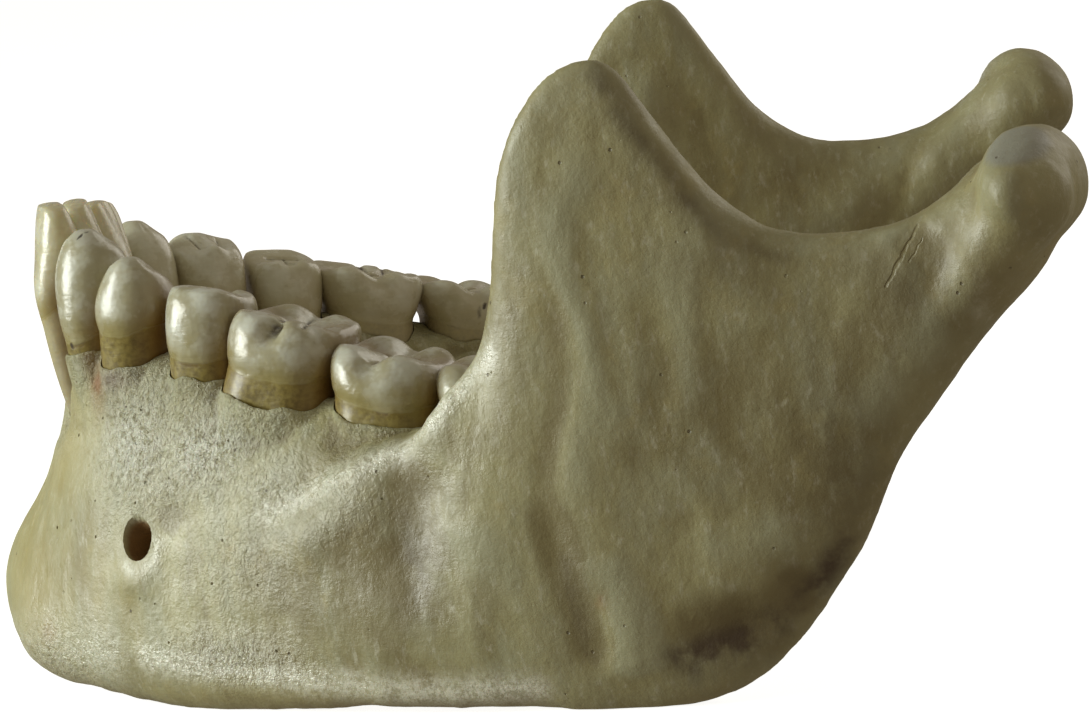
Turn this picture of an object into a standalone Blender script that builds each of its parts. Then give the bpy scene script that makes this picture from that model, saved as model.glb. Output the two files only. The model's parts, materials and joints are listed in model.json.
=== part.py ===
# Adult human jawbone, life size, with its sixteen teeth, resting on its lower border.
# The chin faces -X, the left side is -Y and the floor is z = 0.
# Tables are in millimetres: x back from the chin, y out from the midline (left is minus), z up.

import math

import bmesh
import bpy
import numpy as np
from mathutils import Matrix, Vector

MM = 0.001
CHIN_TO_CENTRE = 55.8       # the origin lies this far behind the chin
GAP = 0.3                   # between parts that meet
VOXEL = 1.0                 # grain in which the lofts are blended into one bone
SMOOTH_PASSES = 9
BONE_TRIANGLES = 7600       # of the whole bone before it is parted
RING = 28                   # points round a section of the bone
STEPS = 5                   # sections made between two rows of a table
TOOTH_RING = 14             # points round a tooth

# Sections of the left half, front to back: the point on the lower or back edge, the point on
# the upper or front edge, the way the outer face looks (0 forward, 90 sideways), and the
# thickness near the first edge, between them, and near the second.
JAW_SECTIONS = (
    (7.5, 0.0, 2.5, 14.3, 0.0, 31.6, 0, 14.4, 11.8, 7.8),
    (8.5, -7.4, 2.2, 14.6, -7.0, 31.8, 20, 14.0, 11.2, 8.0),
    (12.3, -14.4, 1.5, 17.4, -12.8, 33.0, 42, 12.6, 10.0, 8.8),
    (18.4, -20.4, 0.4, 21.6, -17.8, 31.8, 54, 11.6, 10.2, 9.8),
    (25.4, -25.4, -0.1, 28.0, -22.0, 29.6, 59, 10.8, 10.6, 10.6),
    (33.4, -30.2, 0.1, 35.8, -26.8, 27.4, 62, 10.2, 11.4, 11.6),
    (42.2, -35.0, 0.6, 43.2, -31.8, 25.4, 64, 9.6, 12.2, 11.0),
    (50.8, -39.2, 0.6, 48.6, -36.6, 25.6, 67, 9.2, 11.2, 8.0),
    (58.4, -42.4, 0.3, 51.9, -39.6, 28.8, 71, 8.8, 9.4, 6.6),
    (64.4, -44.6, -0.3, 55.1, -41.6, 33.6, 74, 8.6, 8.2, 6.0),
    (70.0, -46.2, -0.1, 57.1, -43.0, 39.0, 77, 8.4, 7.4, 5.4),
    (75.5, -47.2, 1.3, 58.1, -43.9, 44.6, 79, 8.2, 6.8, 5.0),
    (79.9, -47.9, 4.0, 59.2, -44.5, 50.0, 80, 8.0, 6.4, 4.6),
    (83.6, -48.4, 7.4, 61.7, -45.0, 54.9, 81, 7.8, 6.2, 4.2),
    (86.8, -48.8, 11.4, 65.4, -45.5, 58.3, 82, 7.6, 6.0, 4.0),
    (89.1, -49.1, 15.3, 69.2, -46.0, 58.5, 82, 7.6, 6.0, 4.0),
    (91.2, -49.4, 19.3, 73.0, -46.6, 52.8, 82, 7.8, 5.8, 4.0),
    (93.5, -49.6, 22.9, 77.2, -47.1, 46.4, 82, 8.0, 5.8, 4.2),
    (96.5, -49.9, 26.4, 82.4, -47.7, 42.2, 82, 8.2, 6.0, 4.4),
    (99.4, -50.3, 30.0, 89.0, -48.6, 41.0, 82, 8.6, 6.6, 5.0),
    (103.2, -50.6, 33.9, 95.6, -49.6, 41.9, 82, 9.2, 8.2, 6.4),
    (106.8, -50.8, 37.5, 100.4, -50.4, 44.4, 82, 10.0, 10.4, 8.6),
    (109.2, -50.9, 41.4, 103.4, -50.8, 46.4, 82, 10.0, 11.0, 9.6),
)

# The ridge of bone round the tooth roots, as the same kind of sections.
SOCKET_SECTIONS = (
    (14.4, 0.0, 15.0, 13.4, 0.0, 32.6, 0, 7.0, 8.2, 7.4),
    (14.8, -7.2, 15.0, 13.4, -7.6, 32.8, 22, 7.0, 8.2, 7.6),
    (18.0, -12.8, 15.0, 16.5, -13.3, 34.4, 45, 7.5, 9.0, 8.4),
    (23.0, -17.0, 14.0, 21.2, -17.7, 33.6, 57, 8.0, 9.6, 9.0),
    (29.0, -20.9, 13.0, 27.8, -21.5, 32.0, 62, 8.0, 10.4, 9.8),
    (37.0, -25.2, 12.0, 36.2, -25.7, 29.4, 66, 8.0, 11.4, 11.2),
    (46.0, -29.2, 12.0, 45.5, -29.7, 27.2, 68, 8.0, 12.0, 11.8),
    (54.6, -32.6, 13.0, 54.4, -33.0, 26.6, 70, 7.0, 11.0, 10.4),
    (60.6, -36.2, 17.0, 60.4, -36.6, 26.6, 72, 5.0, 7.0, 6.0),
)

# Rods blended into the bone: both ends, and the radius at each.
FILLS = (
    ((92.0, -48.6, 33.0), (104.6, -47.8, 42.2), 2.8, 4.6),
    ((60.0, -38.6, 22.0), (58.8, -40.6, 31.0), 3.6, 2.4),
)

HEAD_CENTRE = (105.8, -50.6, 44.1)
HEAD_SIZE = (9.0, 19.4, 9.8)        # front to back, side to side, up
HEAD_TURN = 16                      # its inner end lies further back
HEAD_LEAN = 14                      # its top leans forward

PLUMP = 0.55                # added all over, for what smoothing took away
# Swellings and hollows of the surface: centre, reach along x, y and z, and height.
SWELLINGS = (
    ((0.0, 0.0, 11.5), (7.0, 10.0, 8.0), 2.9),
    ((4.0, -13.5, 5.5), (6.0, 6.0, 4.5), 1.3),
    ((6.0, 0.0, 22.0), (5.0, 12.0, 5.0), -0.6),
    ((46.0, -31.0, 8.0), (14.0, 6.0, 6.0), -1.4),
    ((22.0, -14.0, 13.0), (8.0, 5.0, 6.0), -0.8),
    ((72.0, -51.0, 20.0), (9.0, 5.0, 10.0), -0.6),
    ((76.0, -52.0, 5.0), (7.0, 5.0, 5.0), 0.8),
    ((16.0, 0.0, 9.0), (4.0, 3.0, 4.0), 1.4),
    ((55.0, -38.5, 28.5), (3.5, 2.2, 3.0), -1.0),
)
# Ridges of the surface: a line of points, its half width and its height.
RIDGES = (
    (((57.0, -36.0, 25.0), (61.0, -38.6, 31.0), (64.5, -41.4, 41.0), (67.5, -43.4, 53.0)), 2.4, 1.0),
    (((55.0, -43.5, 34.0), (50.0, -41.0, 25.5), (42.0, -37.2, 19.5), (33.0, -33.0, 14.0)), 2.6, 1.2),
    (((82.0, -45.0, 32.0), (91.0, -45.2, 37.0), (100.0, -44.8, 41.5)), 2.6, 0.8),
    (((57.0, -31.5, 22.0), (46.0, -26.0, 17.0), (34.0, -20.5, 12.0), (22.0, -12.5, 8.0)), 2.4, 1.0),
)

# Each kind of tooth: width along the row, depth across it, crown height, root length in the
# bone, squareness of its section (1 is an oval), its rings, and its cusps.
# A ring is a height as a share of the crown, shares of the width and the depth, and how much
# of each cusp it carries. A cusp is its direction round the tooth (0 distal, 90 outward),
# its rise in millimetres and its spread in degrees.
TOOTH_KINDS = {
    "incisor": (
        5.6, 6.2, 10.8, 9.0, 0.95,
        (
            (0.00, 0.66, 0.98, 0), (0.18, 0.74, 1.00, 0), (0.45, 0.90, 0.84, 0),
            (0.72, 1.00, 0.62, 0), (0.92, 1.00, 0.44, 0), (1.00, 0.92, 0.28, 0),
        ),
        (),
    ),
    "canine": (
        7.0, 8.0, 10.6, 10.0, 0.92,
        (
            (0.00, 0.78, 0.96, 0), (0.18, 0.86, 1.00, 0), (0.45, 0.98, 0.96, 0),
            (0.66, 1.00, 0.84, 0), (0.84, 0.82, 0.60, 0), (0.97, 0.44, 0.32, 0),
        ),
        (),
    ),
    "first_premolar": (
        7.4, 7.9, 7.2, 9.0, 0.9,
        (
            (0.00, 0.78, 0.90, 0), (0.20, 0.88, 1.00, 0), (0.50, 1.00, 0.98, 0),
            (0.66, 0.98, 0.88, 0.2), (0.72, 0.82, 0.68, 0.8), (0.72, 0.54, 0.42, 0.9),
            (0.70, 0.24, 0.16, 0.5),
        ),
        ((90, 2.2, 60), (270, 0.4, 40)),
    ),
    "second_premolar": (
        7.7, 8.7, 6.4, 9.0, 0.8,
        (
            (0.00, 0.80, 0.90, 0), (0.20, 0.90, 0.98, 0), (0.50, 1.00, 1.00, 0),
            (0.76, 0.98, 0.90, 0.3), (0.86, 0.84, 0.72, 0.9), (0.82, 0.54, 0.42, 0.6),
            (0.78, 0.22, 0.14, 0.2),
        ),
        ((90, 0.8, 55), (235, 0.7, 34), (305, 0.6, 30)),
    ),
    "first_molar": (
        11.3, 11.1, 6.0, 9.0, 0.74,
        (
            (0.00, 0.86, 0.88, 0), (0.20, 0.94, 0.98, 0), (0.50, 1.00, 1.00, 0),
            (0.76, 0.98, 0.92, 0.3), (0.88, 0.87, 0.78, 0.9), (0.80, 0.58, 0.46, 0.6),
            (0.72, 0.26, 0.12, 0.2),
        ),
        ((130, 0.9, 26), (72, 0.7, 22), (24, 0.5, 22), (228, 1.2, 26), (310, 1.1, 26)),
    ),
    "second_molar": (
        10.9, 10.9, 5.2, 9.0, 0.76,
        (
            (0.00, 0.86, 0.88, 0), (0.20, 0.94, 0.98, 0), (0.50, 1.00, 1.00, 0),
            (0.76, 0.98, 0.92, 0.3), (0.88, 0.87, 0.78, 0.9), (0.80, 0.58, 0.46, 0.6),
            (0.72, 0.26, 0.12, 0.2),
        ),
        ((130, 0.8, 28), (50, 0.7, 28), (228, 1.1, 28), (312, 1.0, 28)),
    ),
    "third_molar": (
        10.0, 9.6, 5.2, 7.0, 0.84,
        (
            (0.00, 0.86, 0.88, 0), (0.20, 0.94, 0.98, 0), (0.50, 1.00, 1.00, 0),
            (0.76, 0.97, 0.90, 0.3), (0.88, 0.84, 0.76, 0.9), (0.80, 0.56, 0.46, 0.6),
            (0.74, 0.26, 0.14, 0.2),
        ),
        ((130, 0.8, 30), (50, 0.7, 30), (228, 1.0, 30), (312, 0.9, 30)),
    ),
}

# Left row: kind, where the crown meets the root, the way the tooth faces, how far the top of
# the crown leans outward and backward, and its fall for each millimetre further back.
LEFT_TEETH = (
    ("incisor", (12.8, -2.8, 36.2), 8, 0.8, 0.0, 0.0),
    ("incisor", (11.7, -8.2, 37.1), 20, 0.9, 0.0, 0.0),
    ("canine", (15.6, -13.4, 35.1), 44, 0.6, 0.0, 0.05),
    ("first_premolar", (20.4, -18.0, 35.6), 57, 0.4, -0.3, 0.08),
    ("second_premolar", (27.6, -21.8, 33.0), 62, 0.0, -0.3, 0.12),
    ("first_molar", (35.8, -26.0, 29.8), 66, -0.6, -0.4, 0.24),
    ("second_molar", (45.6, -30.0, 27.5), 68, -1.0, -0.6, 0.22),
    ("third_molar", (55.0, -33.4, 25.6), 70, -1.2, -0.8, 0.18),
)
# The right row is the left mirrored, each tooth then moved a little and sized a little.
RIGHT_SHIFTS = (
    ((0.2, -0.1, 0.2), 0.98),
    ((1.4, 0.2, -0.9), 1.00),
    ((0.8, 0.0, -1.6), 1.01),
    ((1.3, 0.1, -1.3), 1.00),
    ((0.9, 0.0, -0.8), 0.99),
    ((0.4, 0.0, -0.5), 1.01),
    ((0.3, 0.1, 0.1), 1.00),
    ((0.0, 0.0, 0.3), 0.98),
)

FORAMEN = ((18.0, -25.4, 15.7), (22.4, -20.6, 13.0), 1.9, 1.3)
JAW_CANAL = ((81.0, -44.0, 27.5), (77.0, -48.2, 23.4), 2.4, 1.6)

# The cut between body and ramus: a point on it, and the way it faces.
CUT_POINT = (60.0, -38.0, 28.6)
CUT_FACING = (0.70, -0.65, 0.30)

BONE_COLOUR = (0.60, 0.55, 0.40, 1.0)
RAMUS_COLOUR = (0.56, 0.52, 0.39, 1.0)


def clear_scene():
    for obj in list(bpy.data.objects):
        bpy.data.objects.remove(obj, do_unlink=True)


def new_collection(name, helper):
    made = bpy.data.collections.new(name)
    bpy.context.scene.collection.children.link(made)
    made.hide_render = helper
    return made


def principled(name, colour, roughness):
    material = bpy.data.materials.new(name)
    material.use_nodes = True
    shader = material.node_tree.nodes["Principled BSDF"]
    shader.inputs["Base Color"].default_value = colour
    shader.inputs["Roughness"].default_value = roughness
    material.diffuse_color = colour
    return material


def place(points):
    """Table millimetres to metres in the part's frame."""
    moved = np.array(points, float).reshape(-1, 3)
    moved[:, 0] -= CHIN_TO_CENTRE
    return moved * MM


def object_from(name, points, faces, collection):
    mesh = bpy.data.meshes.new(name)
    mesh.from_pydata([tuple(p) for p in points], [], [tuple(f) for f in faces])
    mesh.validate()
    obj = bpy.data.objects.new(name, mesh)
    collection.objects.link(obj)
    return obj


def tube_faces(rings, around, open_first=False):
    """Faces that join rings of points one after another, closed at the ends."""
    faces = []
    for i in range(rings - 1):
        for j in range(around):
            k = (j + 1) % around
            faces.append((i * around + j, i * around + k, (i + 1) * around + k, (i + 1) * around + j))
    if not open_first:
        faces.append(tuple(range(around))[::-1])
    faces.append(tuple((rings - 1) * around + j for j in range(around)))
    return faces


def mirrored_rows(table):
    """The table run from the right end to the left end through the midline."""
    rows = np.array(table, float)
    right = rows[:0:-1] * np.array([1, -1, 1, 1, -1, 1, -1, 1, 1, 1])
    return np.concatenate([right, rows])


def smooth_rows(rows, steps):
    """Rows on a smooth curve through the given ones."""
    middles = (rows[:, :3] + rows[:, 3:6]) / 2
    edges = np.abs(np.diff(rows[:, :6], axis=0)).reshape(-1, 2, 3)
    spans = np.linalg.norm(edges, axis=2).max(axis=1)
    at = np.concatenate([[0], np.cumsum(spans)])
    slopes = np.gradient(rows, at, axis=0)
    made = []
    for i in range(len(middles) - 1):
        for t in np.arange(steps) / steps:
            made.append(
                (2 * t**3 - 3 * t**2 + 1) * rows[i]
                + (t**3 - 2 * t**2 + t) * spans[i] * slopes[i]
                + (3 * t**2 - 2 * t**3) * rows[i + 1]
                + (t**3 - t**2) * spans[i] * slopes[i + 1]
            )
    made.append(rows[-1])
    return np.array(made)


def section_ring(row, around):
    """A rounded section between the two edge points of a row."""
    low, high, facing = row[:3], row[3:6], math.radians(row[6])
    out = np.array([-math.cos(facing), -math.sin(facing), 0.0])
    angle = 2 * math.pi * np.arange(around) / around
    c, s = np.cos(angle), np.sin(angle)
    along = 0.5 - 0.5 * np.sign(c) * np.abs(c) ** 0.85
    across = np.sign(s) * np.abs(s) ** 0.75
    first = 2 * (along - 0.5) * (along - 1)
    between = -4 * along * (along - 1)
    last = 2 * along * (along - 0.5)
    thickness = first * row[7] + between * row[8] + last * row[9]
    return low + np.outer(along, high - low) + np.outer(across * thickness / 2, out)


def ribbon(table, around, steps):
    """The left half of a loft that crosses the midline, open there."""
    rows = smooth_rows(mirrored_rows(table), steps)[(len(table) - 1) * steps:]
    points = np.concatenate([section_ring(row, around) for row in rows])
    return points, tube_faces(len(rows), around, open_first=True)


def shape_of(work):
    """Points and faces of a bmesh, which it frees."""
    points = np.array([v.co[:] for v in work.verts])
    faces = [tuple(v.index for v in f.verts) for f in work.faces]
    work.free()
    return points, faces


def rod(first, last, first_radius, last_radius, around=12):
    """A tapering rod between two points."""
    axis = Vector(last) - Vector(first)
    matrix = Matrix.Translation(Vector(first) + axis / 2) @ axis.to_track_quat("Z", "Y").to_matrix().to_4x4()
    work = bmesh.new()
    bmesh.ops.create_cone(
        work, cap_ends=True, segments=around, radius1=first_radius, radius2=last_radius,
        depth=axis.length, matrix=matrix,
    )
    return shape_of(work)


def ball(centre, size, turn=0, lean=0, segments=16):
    """A round lump, stretched, turned about the upright and leant forward."""
    matrix = Matrix.Translation(centre)
    matrix @= Matrix.Rotation(math.radians(-turn), 4, "Z") @ Matrix.Rotation(math.radians(-lean), 4, "Y")
    matrix @= Matrix.Diagonal((*size, 1))
    work = bmesh.new()
    bmesh.ops.create_uvsphere(work, u_segments=segments, v_segments=segments // 2, radius=0.5, matrix=matrix)
    return shape_of(work)


def filled_rod(first, last, first_radius, last_radius):
    """A rod with a ball at each end."""
    return [
        rod(first, last, first_radius, last_radius),
        ball(first, (2 * first_radius,) * 3),
        ball(last, (2 * last_radius,) * 3),
    ]


def mirrored(shape):
    points, faces = shape
    return points * np.array([1, -1, 1]), [tuple(f)[::-1] for f in faces]


def joined(shapes):
    points, faces, start = [], [], 0
    for shape_points, shape_faces in shapes:
        points.append(shape_points)
        faces += [tuple(i + start for i in f) for f in shape_faces]
        start += len(shape_points)
    return np.concatenate(points), faces


def outward(obj):
    """Turns every closed shell of a mesh to face out."""
    work = bmesh.new()
    work.from_mesh(obj.data)
    bmesh.ops.recalc_face_normals(work, faces=work.faces)
    work.to_mesh(obj.data)
    work.free()
    return obj


def baked(obj):
    """Puts the result of an object's modifiers into its mesh."""
    graph = bpy.context.evaluated_depsgraph_get()
    mesh = bpy.data.meshes.new_from_object(obj.evaluated_get(graph))
    obj.modifiers.clear()
    old = obj.data
    obj.data = mesh
    bpy.data.meshes.remove(old)
    return obj


def line_distance(points, line):
    """How far points are from a line of points, and how far along it they are, from 0 to 1."""
    best = np.full(len(points), np.inf)
    share = np.zeros(len(points))
    lengths = np.linalg.norm(np.diff(line, axis=0), axis=1)
    passed = 0.0
    for start, end, length in zip(line[:-1], line[1:], lengths):
        t = np.clip((points - start) @ (end - start) / length**2, 0, 1)
        away = np.linalg.norm(points - start - t[:, None] * (end - start), axis=1)
        nearer = away < best
        best[nearer] = away[nearer]
        share[nearer] = (passed + t[nearer] * length) / lengths.sum()
        passed += length
    return best, share


def swell(obj):
    """Pushes the surface out or in round each swelling, on both sides."""
    mesh = obj.data
    points = np.empty(len(mesh.vertices) * 3, np.float32)
    mesh.vertices.foreach_get("co", points)
    normals = np.empty(len(mesh.vertices) * 3, np.float32)
    mesh.vertices.foreach_get("normal", normals)
    points, normals = points.reshape(-1, 3), normals.reshape(-1, 3)
    left = points / MM + np.array([CHIN_TO_CENTRE, 0, 0])
    left[:, 1] = -np.abs(left[:, 1])
    moved = np.full(len(points), PLUMP)
    for centre, reach, height in SWELLINGS:
        away = (left - np.array(centre)) / np.array(reach)
        moved += height * np.exp(-(away**2).sum(axis=1))
    for line, half_width, height in RIDGES:
        away, along = line_distance(left, np.array(line))
        fade = np.clip(np.minimum(along, 1 - along) * 5, 0, 1)
        moved += height * fade * np.exp(-((away / half_width) ** 2))
    points = points + normals * (moved * MM)[:, None]
    mesh.vertices.foreach_set("co", points.astype(np.float32).ravel())
    mesh.update()


def tidy_triangles(obj):
    """Turns the edges of thin triangles to make fuller ones."""
    work = bmesh.new()
    work.from_mesh(obj.data)
    for turns in range(2):
        bmesh.ops.beautify_fill(work, faces=work.faces, edges=work.edges, method="ANGLE")
    work.to_mesh(obj.data)
    work.free()
    return obj


def bone(collection):
    """The whole bone without its teeth: the left half lofted, mirrored and blended."""
    shapes = [ribbon(JAW_SECTIONS, RING, STEPS), ribbon(SOCKET_SECTIONS, RING, STEPS)]
    shapes.append(ball(HEAD_CENTRE, HEAD_SIZE, HEAD_TURN, HEAD_LEAN, 24))
    for ends in FILLS:
        shapes += filled_rod(*ends)
    points, faces = joined(shapes)
    obj = outward(object_from("bone", place(points), faces, collection))
    mirror = obj.modifiers.new("mirror", "MIRROR")
    mirror.use_axis = (False, True, False)
    mirror.merge_threshold = 0.00001
    blend = obj.modifiers.new("blend", "REMESH")
    blend.mode = "VOXEL"
    blend.voxel_size = VOXEL * MM
    smooth = obj.modifiers.new("smooth", "SMOOTH")
    smooth.factor = 0.5
    smooth.iterations = SMOOTH_PASSES
    baked(obj)
    swell(obj)
    fewer = obj.modifiers.new("fewer", "DECIMATE")
    fewer.ratio = BONE_TRIANGLES / (2 * len(obj.data.polygons))
    fewer.use_collapse_triangulate = True
    return tidy_triangles(baked(obj))


def cusp_rise(angle, cusps):
    rise = np.zeros(len(angle))
    for direction, height, spread in cusps:
        away = (np.degrees(angle) - direction + 180) % 360 - 180
        rise += height * np.exp(-((away / spread) ** 2))
    return rise


def tooth(kind, neck, facing, lean_out, lean_back, drop, scale, around):
    """One tooth of the left row, root and crown, as a closed loft."""
    width, depth, height, root, squareness, rings, cusps = TOOTH_KINDS[kind]
    out = np.array([-math.cos(math.radians(facing)), -math.sin(math.radians(facing)), 0.0])
    back = np.array([-out[1], out[0], 0.0])
    angle = 2 * math.pi * (np.arange(around) + 0.5) / around
    u = np.sign(np.cos(angle)) * np.abs(np.cos(angle)) ** squareness
    v = np.sign(np.sin(angle)) * np.abs(np.sin(angle)) ** squareness
    rise = cusp_rise(angle, cusps)
    first = rings[0]
    below = ((-root / height, first[1] * 0.62, first[2] * 0.62, 0),)
    points = []
    for share, wide, deep, carry in below + rings:
        up = share * height + carry * rise
        ring = np.outer(u * width / 2 * wide * scale, back)
        ring += np.outer(v * depth / 2 * deep * scale, out)
        ring += np.outer(up / height, lean_out * out + lean_back * back)
        ring[:, 2] += up * scale - drop * ring @ back
        points.append(ring)
    return np.concatenate(points) + np.array(neck), tube_faces(len(points), around)


def teeth(collection):
    for number, (left, right) in enumerate(zip(LEFT_TEETH, RIGHT_SHIFTS)):
        kind, neck, *posture = left
        shift, scale = right
        shape = tooth(kind, neck, *posture, 1.0, TOOTH_RING)
        outward(object_from(f"left_tooth_{number}", place(shape[0]), shape[1], collection))
        moved = np.array(neck) + np.array(shift)
        shape = mirrored(tooth(kind, moved, *posture, scale, TOOTH_RING))
        outward(object_from(f"right_tooth_{number}", place(shape[0]), shape[1], collection))


def box(name, size, matrix, collection):
    """A closed box of a size in millimetres, placed by a matrix in millimetres."""
    work = bmesh.new()
    bmesh.ops.create_cube(work, size=1.0, matrix=matrix @ Matrix.Diagonal((*size, 1)))
    points, faces = shape_of(work)
    return outward(object_from(name, place(points), faces, collection))


def half_space(name, side, behind, collection):
    """A block that holds everything on one side of the cut between body and ramus."""
    facing = Vector(CUT_FACING).normalized()
    turn = facing.to_track_quat("Z", "Y").to_matrix().to_4x4()
    reach = 200.0
    away = (reach + GAP) / 2 if behind else -(reach + GAP) / 2
    matrix = Matrix.Translation(Vector(CUT_POINT) + facing * away) @ turn
    made = box(name, (reach, reach, reach), matrix, collection)
    if side > 0:
        made.data.transform(Matrix.Scale(-1, 4, Vector((0, 1, 0))))
        outward(made)
    return made


def boolean(obj, other, operation, solver="EXACT"):
    """Adds a Boolean with an object or a collection of objects."""
    made = obj.modifiers.new(operation.lower(), "BOOLEAN")
    made.operation = operation
    made.solver = solver
    if isinstance(other, bpy.types.Collection):
        made.operand_type = "COLLECTION"
        made.collection = other
    else:
        made.object = other
    return made


def largest_shell(obj):
    """Keeps only the largest closed surface of a mesh."""
    work = bmesh.new()
    work.from_mesh(obj.data)
    work.verts.ensure_lookup_table()
    seen, shells = set(), []
    for vert in work.verts:
        if vert.index in seen:
            continue
        shell, queue = [], [vert]
        seen.add(vert.index)
        while queue:
            at = queue.pop()
            shell.append(at)
            for edge in at.link_edges:
                other = edge.other_vert(at)
                if other.index not in seen:
                    seen.add(other.index)
                    queue.append(other)
        shells.append(shell)
    shells.sort(key=len)
    for shell in shells[:-1]:
        bmesh.ops.delete(work, geom=shell, context="VERTS")
    work.to_mesh(obj.data)
    work.free()
    return obj


def copied(obj, name, collection):
    made = bpy.data.objects.new(name, obj.data.copy())
    collection.objects.link(made)
    return made


def build():
    clear_scene()
    bpy.context.scene.unit_settings.system = "METRIC"
    jaw = new_collection("jawbone", False)
    helpers = new_collection("helpers", True)
    tooth_set = new_collection("tooth_set", True)
    pits = new_collection("pits", True)

    whole = bone(helpers)
    teeth(tooth_set)
    for name, ends in (("chin_hole", FORAMEN), ("jaw_canal", JAW_CANAL)):
        shape = rod(*ends)
        outward(object_from(f"{name}_left", place(shape[0]), shape[1], pits))
        shape = mirrored(shape)
        outward(object_from(f"{name}_right", place(shape[0]), shape[1], pits))
    box("floor_cut", (300, 300, 20), Matrix.Translation((55, 0, -10)), pits)
    boolean(whole, tooth_set, "UNION", "MANIFOLD")
    boolean(whole, pits, "DIFFERENCE", "MANIFOLD")
    baked(whole)

    body = copied(whole, "mandible_body", jaw)
    for side, word in ((-1, "left"), (1, "right")):
        ramus = copied(whole, f"ramus_{word}", jaw)
        boolean(ramus, half_space(f"behind_{word}", side, True, helpers), "INTERSECT", "MANIFOLD")
        largest_shell(baked(ramus))
        ramus.data.materials.clear()
        ramus.data.materials.append(principled(f"ramus_{word}_bone", RAMUS_COLOUR, 0.5))
        boolean(body, half_space(f"front_{word}", side, False, helpers), "INTERSECT", "MANIFOLD")
    largest_shell(baked(body))
    body.data.materials.clear()
    body.data.materials.append(principled("body_bone", BONE_COLOUR, 0.5))
    for helper in list(helpers.objects) + list(tooth_set.objects) + list(pits.objects):
        helper.display_type = "WIRE"
        helper.hide_render = True


build()
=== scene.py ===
import json
import math

import bmesh
import bpy
import numpy as np
from mathutils import Matrix, Vector
from mathutils.bvhtree import BVHTree

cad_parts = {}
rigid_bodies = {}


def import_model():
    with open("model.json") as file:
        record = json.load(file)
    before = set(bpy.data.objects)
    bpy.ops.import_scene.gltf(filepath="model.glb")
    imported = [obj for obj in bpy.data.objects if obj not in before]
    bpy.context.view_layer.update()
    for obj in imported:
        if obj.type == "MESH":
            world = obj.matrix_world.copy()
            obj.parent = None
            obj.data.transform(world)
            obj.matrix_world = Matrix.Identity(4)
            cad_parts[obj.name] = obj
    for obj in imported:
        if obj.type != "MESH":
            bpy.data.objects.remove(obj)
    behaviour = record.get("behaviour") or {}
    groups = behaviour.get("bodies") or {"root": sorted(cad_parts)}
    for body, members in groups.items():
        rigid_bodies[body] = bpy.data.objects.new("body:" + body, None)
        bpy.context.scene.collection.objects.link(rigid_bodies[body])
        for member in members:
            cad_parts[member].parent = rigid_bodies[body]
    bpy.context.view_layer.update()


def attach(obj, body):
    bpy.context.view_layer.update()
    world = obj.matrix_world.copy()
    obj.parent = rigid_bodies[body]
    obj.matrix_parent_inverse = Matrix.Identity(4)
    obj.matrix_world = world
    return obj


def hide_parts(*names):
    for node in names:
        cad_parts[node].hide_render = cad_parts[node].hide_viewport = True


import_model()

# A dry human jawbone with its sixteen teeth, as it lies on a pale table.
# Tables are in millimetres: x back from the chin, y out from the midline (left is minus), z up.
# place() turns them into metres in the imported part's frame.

mm = 0.001
chinToCentre = 55.8


def place(points):
    moved = np.array(points, float).reshape(-1, 3)
    moved[:, 0] -= chinToCentre
    return moved * mm


def tableOf(points):    # the way back, from metres to the tables' millimetres
    return points / mm + np.array([chinToCentre, 0.0, 0.0])


# Small helpers for meshes
def objectFrom(name, points, faces):
    mesh = bpy.data.meshes.new(name)
    mesh.from_pydata([tuple(p) for p in points], [], [tuple(f) for f in faces])
    mesh.validate()
    obj = bpy.data.objects.new(name, mesh)
    bpy.context.scene.collection.objects.link(obj)
    return obj


def shapeOf(work):
    points = np.array([v.co[:] for v in work.verts])
    faces = [tuple(v.index for v in f.verts) for f in work.faces]
    work.free()
    return points, faces


def mirrored(shape):
    points, faces = shape
    return points * np.array([1, -1, 1]), [tuple(f)[::-1] for f in faces]


def joined(shapes):
    points, faces, start = [], [], 0
    for shapePoints, shapeFaces in shapes:
        points.append(shapePoints)
        faces += [tuple(i + start for i in f) for f in shapeFaces]
        start += len(shapePoints)
    return np.concatenate(points), faces


def turnedOut(obj):     # every closed shell faces outwards
    work = bmesh.new()
    work.from_mesh(obj.data)
    bmesh.ops.recalc_face_normals(work, faces=work.faces)
    work.to_mesh(obj.data)
    work.free()
    return obj


def applied(obj):       # the modifiers' result becomes the mesh
    graph = bpy.context.evaluated_depsgraph_get()
    mesh = bpy.data.meshes.new_from_object(obj.evaluated_get(graph))
    obj.modifiers.clear()
    old = obj.data
    obj.data = mesh
    bpy.data.meshes.remove(old)
    return obj


def readPoints(mesh, what="co"):
    values = np.empty(len(mesh.vertices) * 3, np.float32)
    mesh.vertices.foreach_get(what, values)
    return values.reshape(-1, 3).astype(float)


def writePoints(mesh, points):
    mesh.vertices.foreach_set("co", points.astype(np.float32).ravel())
    mesh.update()


def giveAttribute(mesh, name, values):
    attribute = mesh.attributes.get(name) or mesh.attributes.new(name, "FLOAT", "POINT")
    attribute.data.foreach_set("value", np.asarray(values, np.float32))


def smoothStep(values, low, high):
    t = np.clip((values - low) / (high - low), 0, 1)
    return t * t * (3 - 2 * t)


def lineDistance(points, line):     # how far from the line, and what share of the way along it
    line = np.array(line, float)
    best = np.full(len(points), np.inf)
    share = np.zeros(len(points))
    lengths = np.linalg.norm(np.diff(line, axis=0), axis=1)
    passed = 0.0
    for start, end, length in zip(line[:-1], line[1:], lengths):
        t = np.clip((points - start) @ (end - start) / length**2, 0, 1)
        away = np.linalg.norm(points - start - t[:, None] * (end - start), axis=1)
        nearer = away < best
        best[nearer] = away[nearer]
        share[nearer] = (passed + t[nearer] * length) / lengths.sum()
        passed += length
    return best, share


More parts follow.
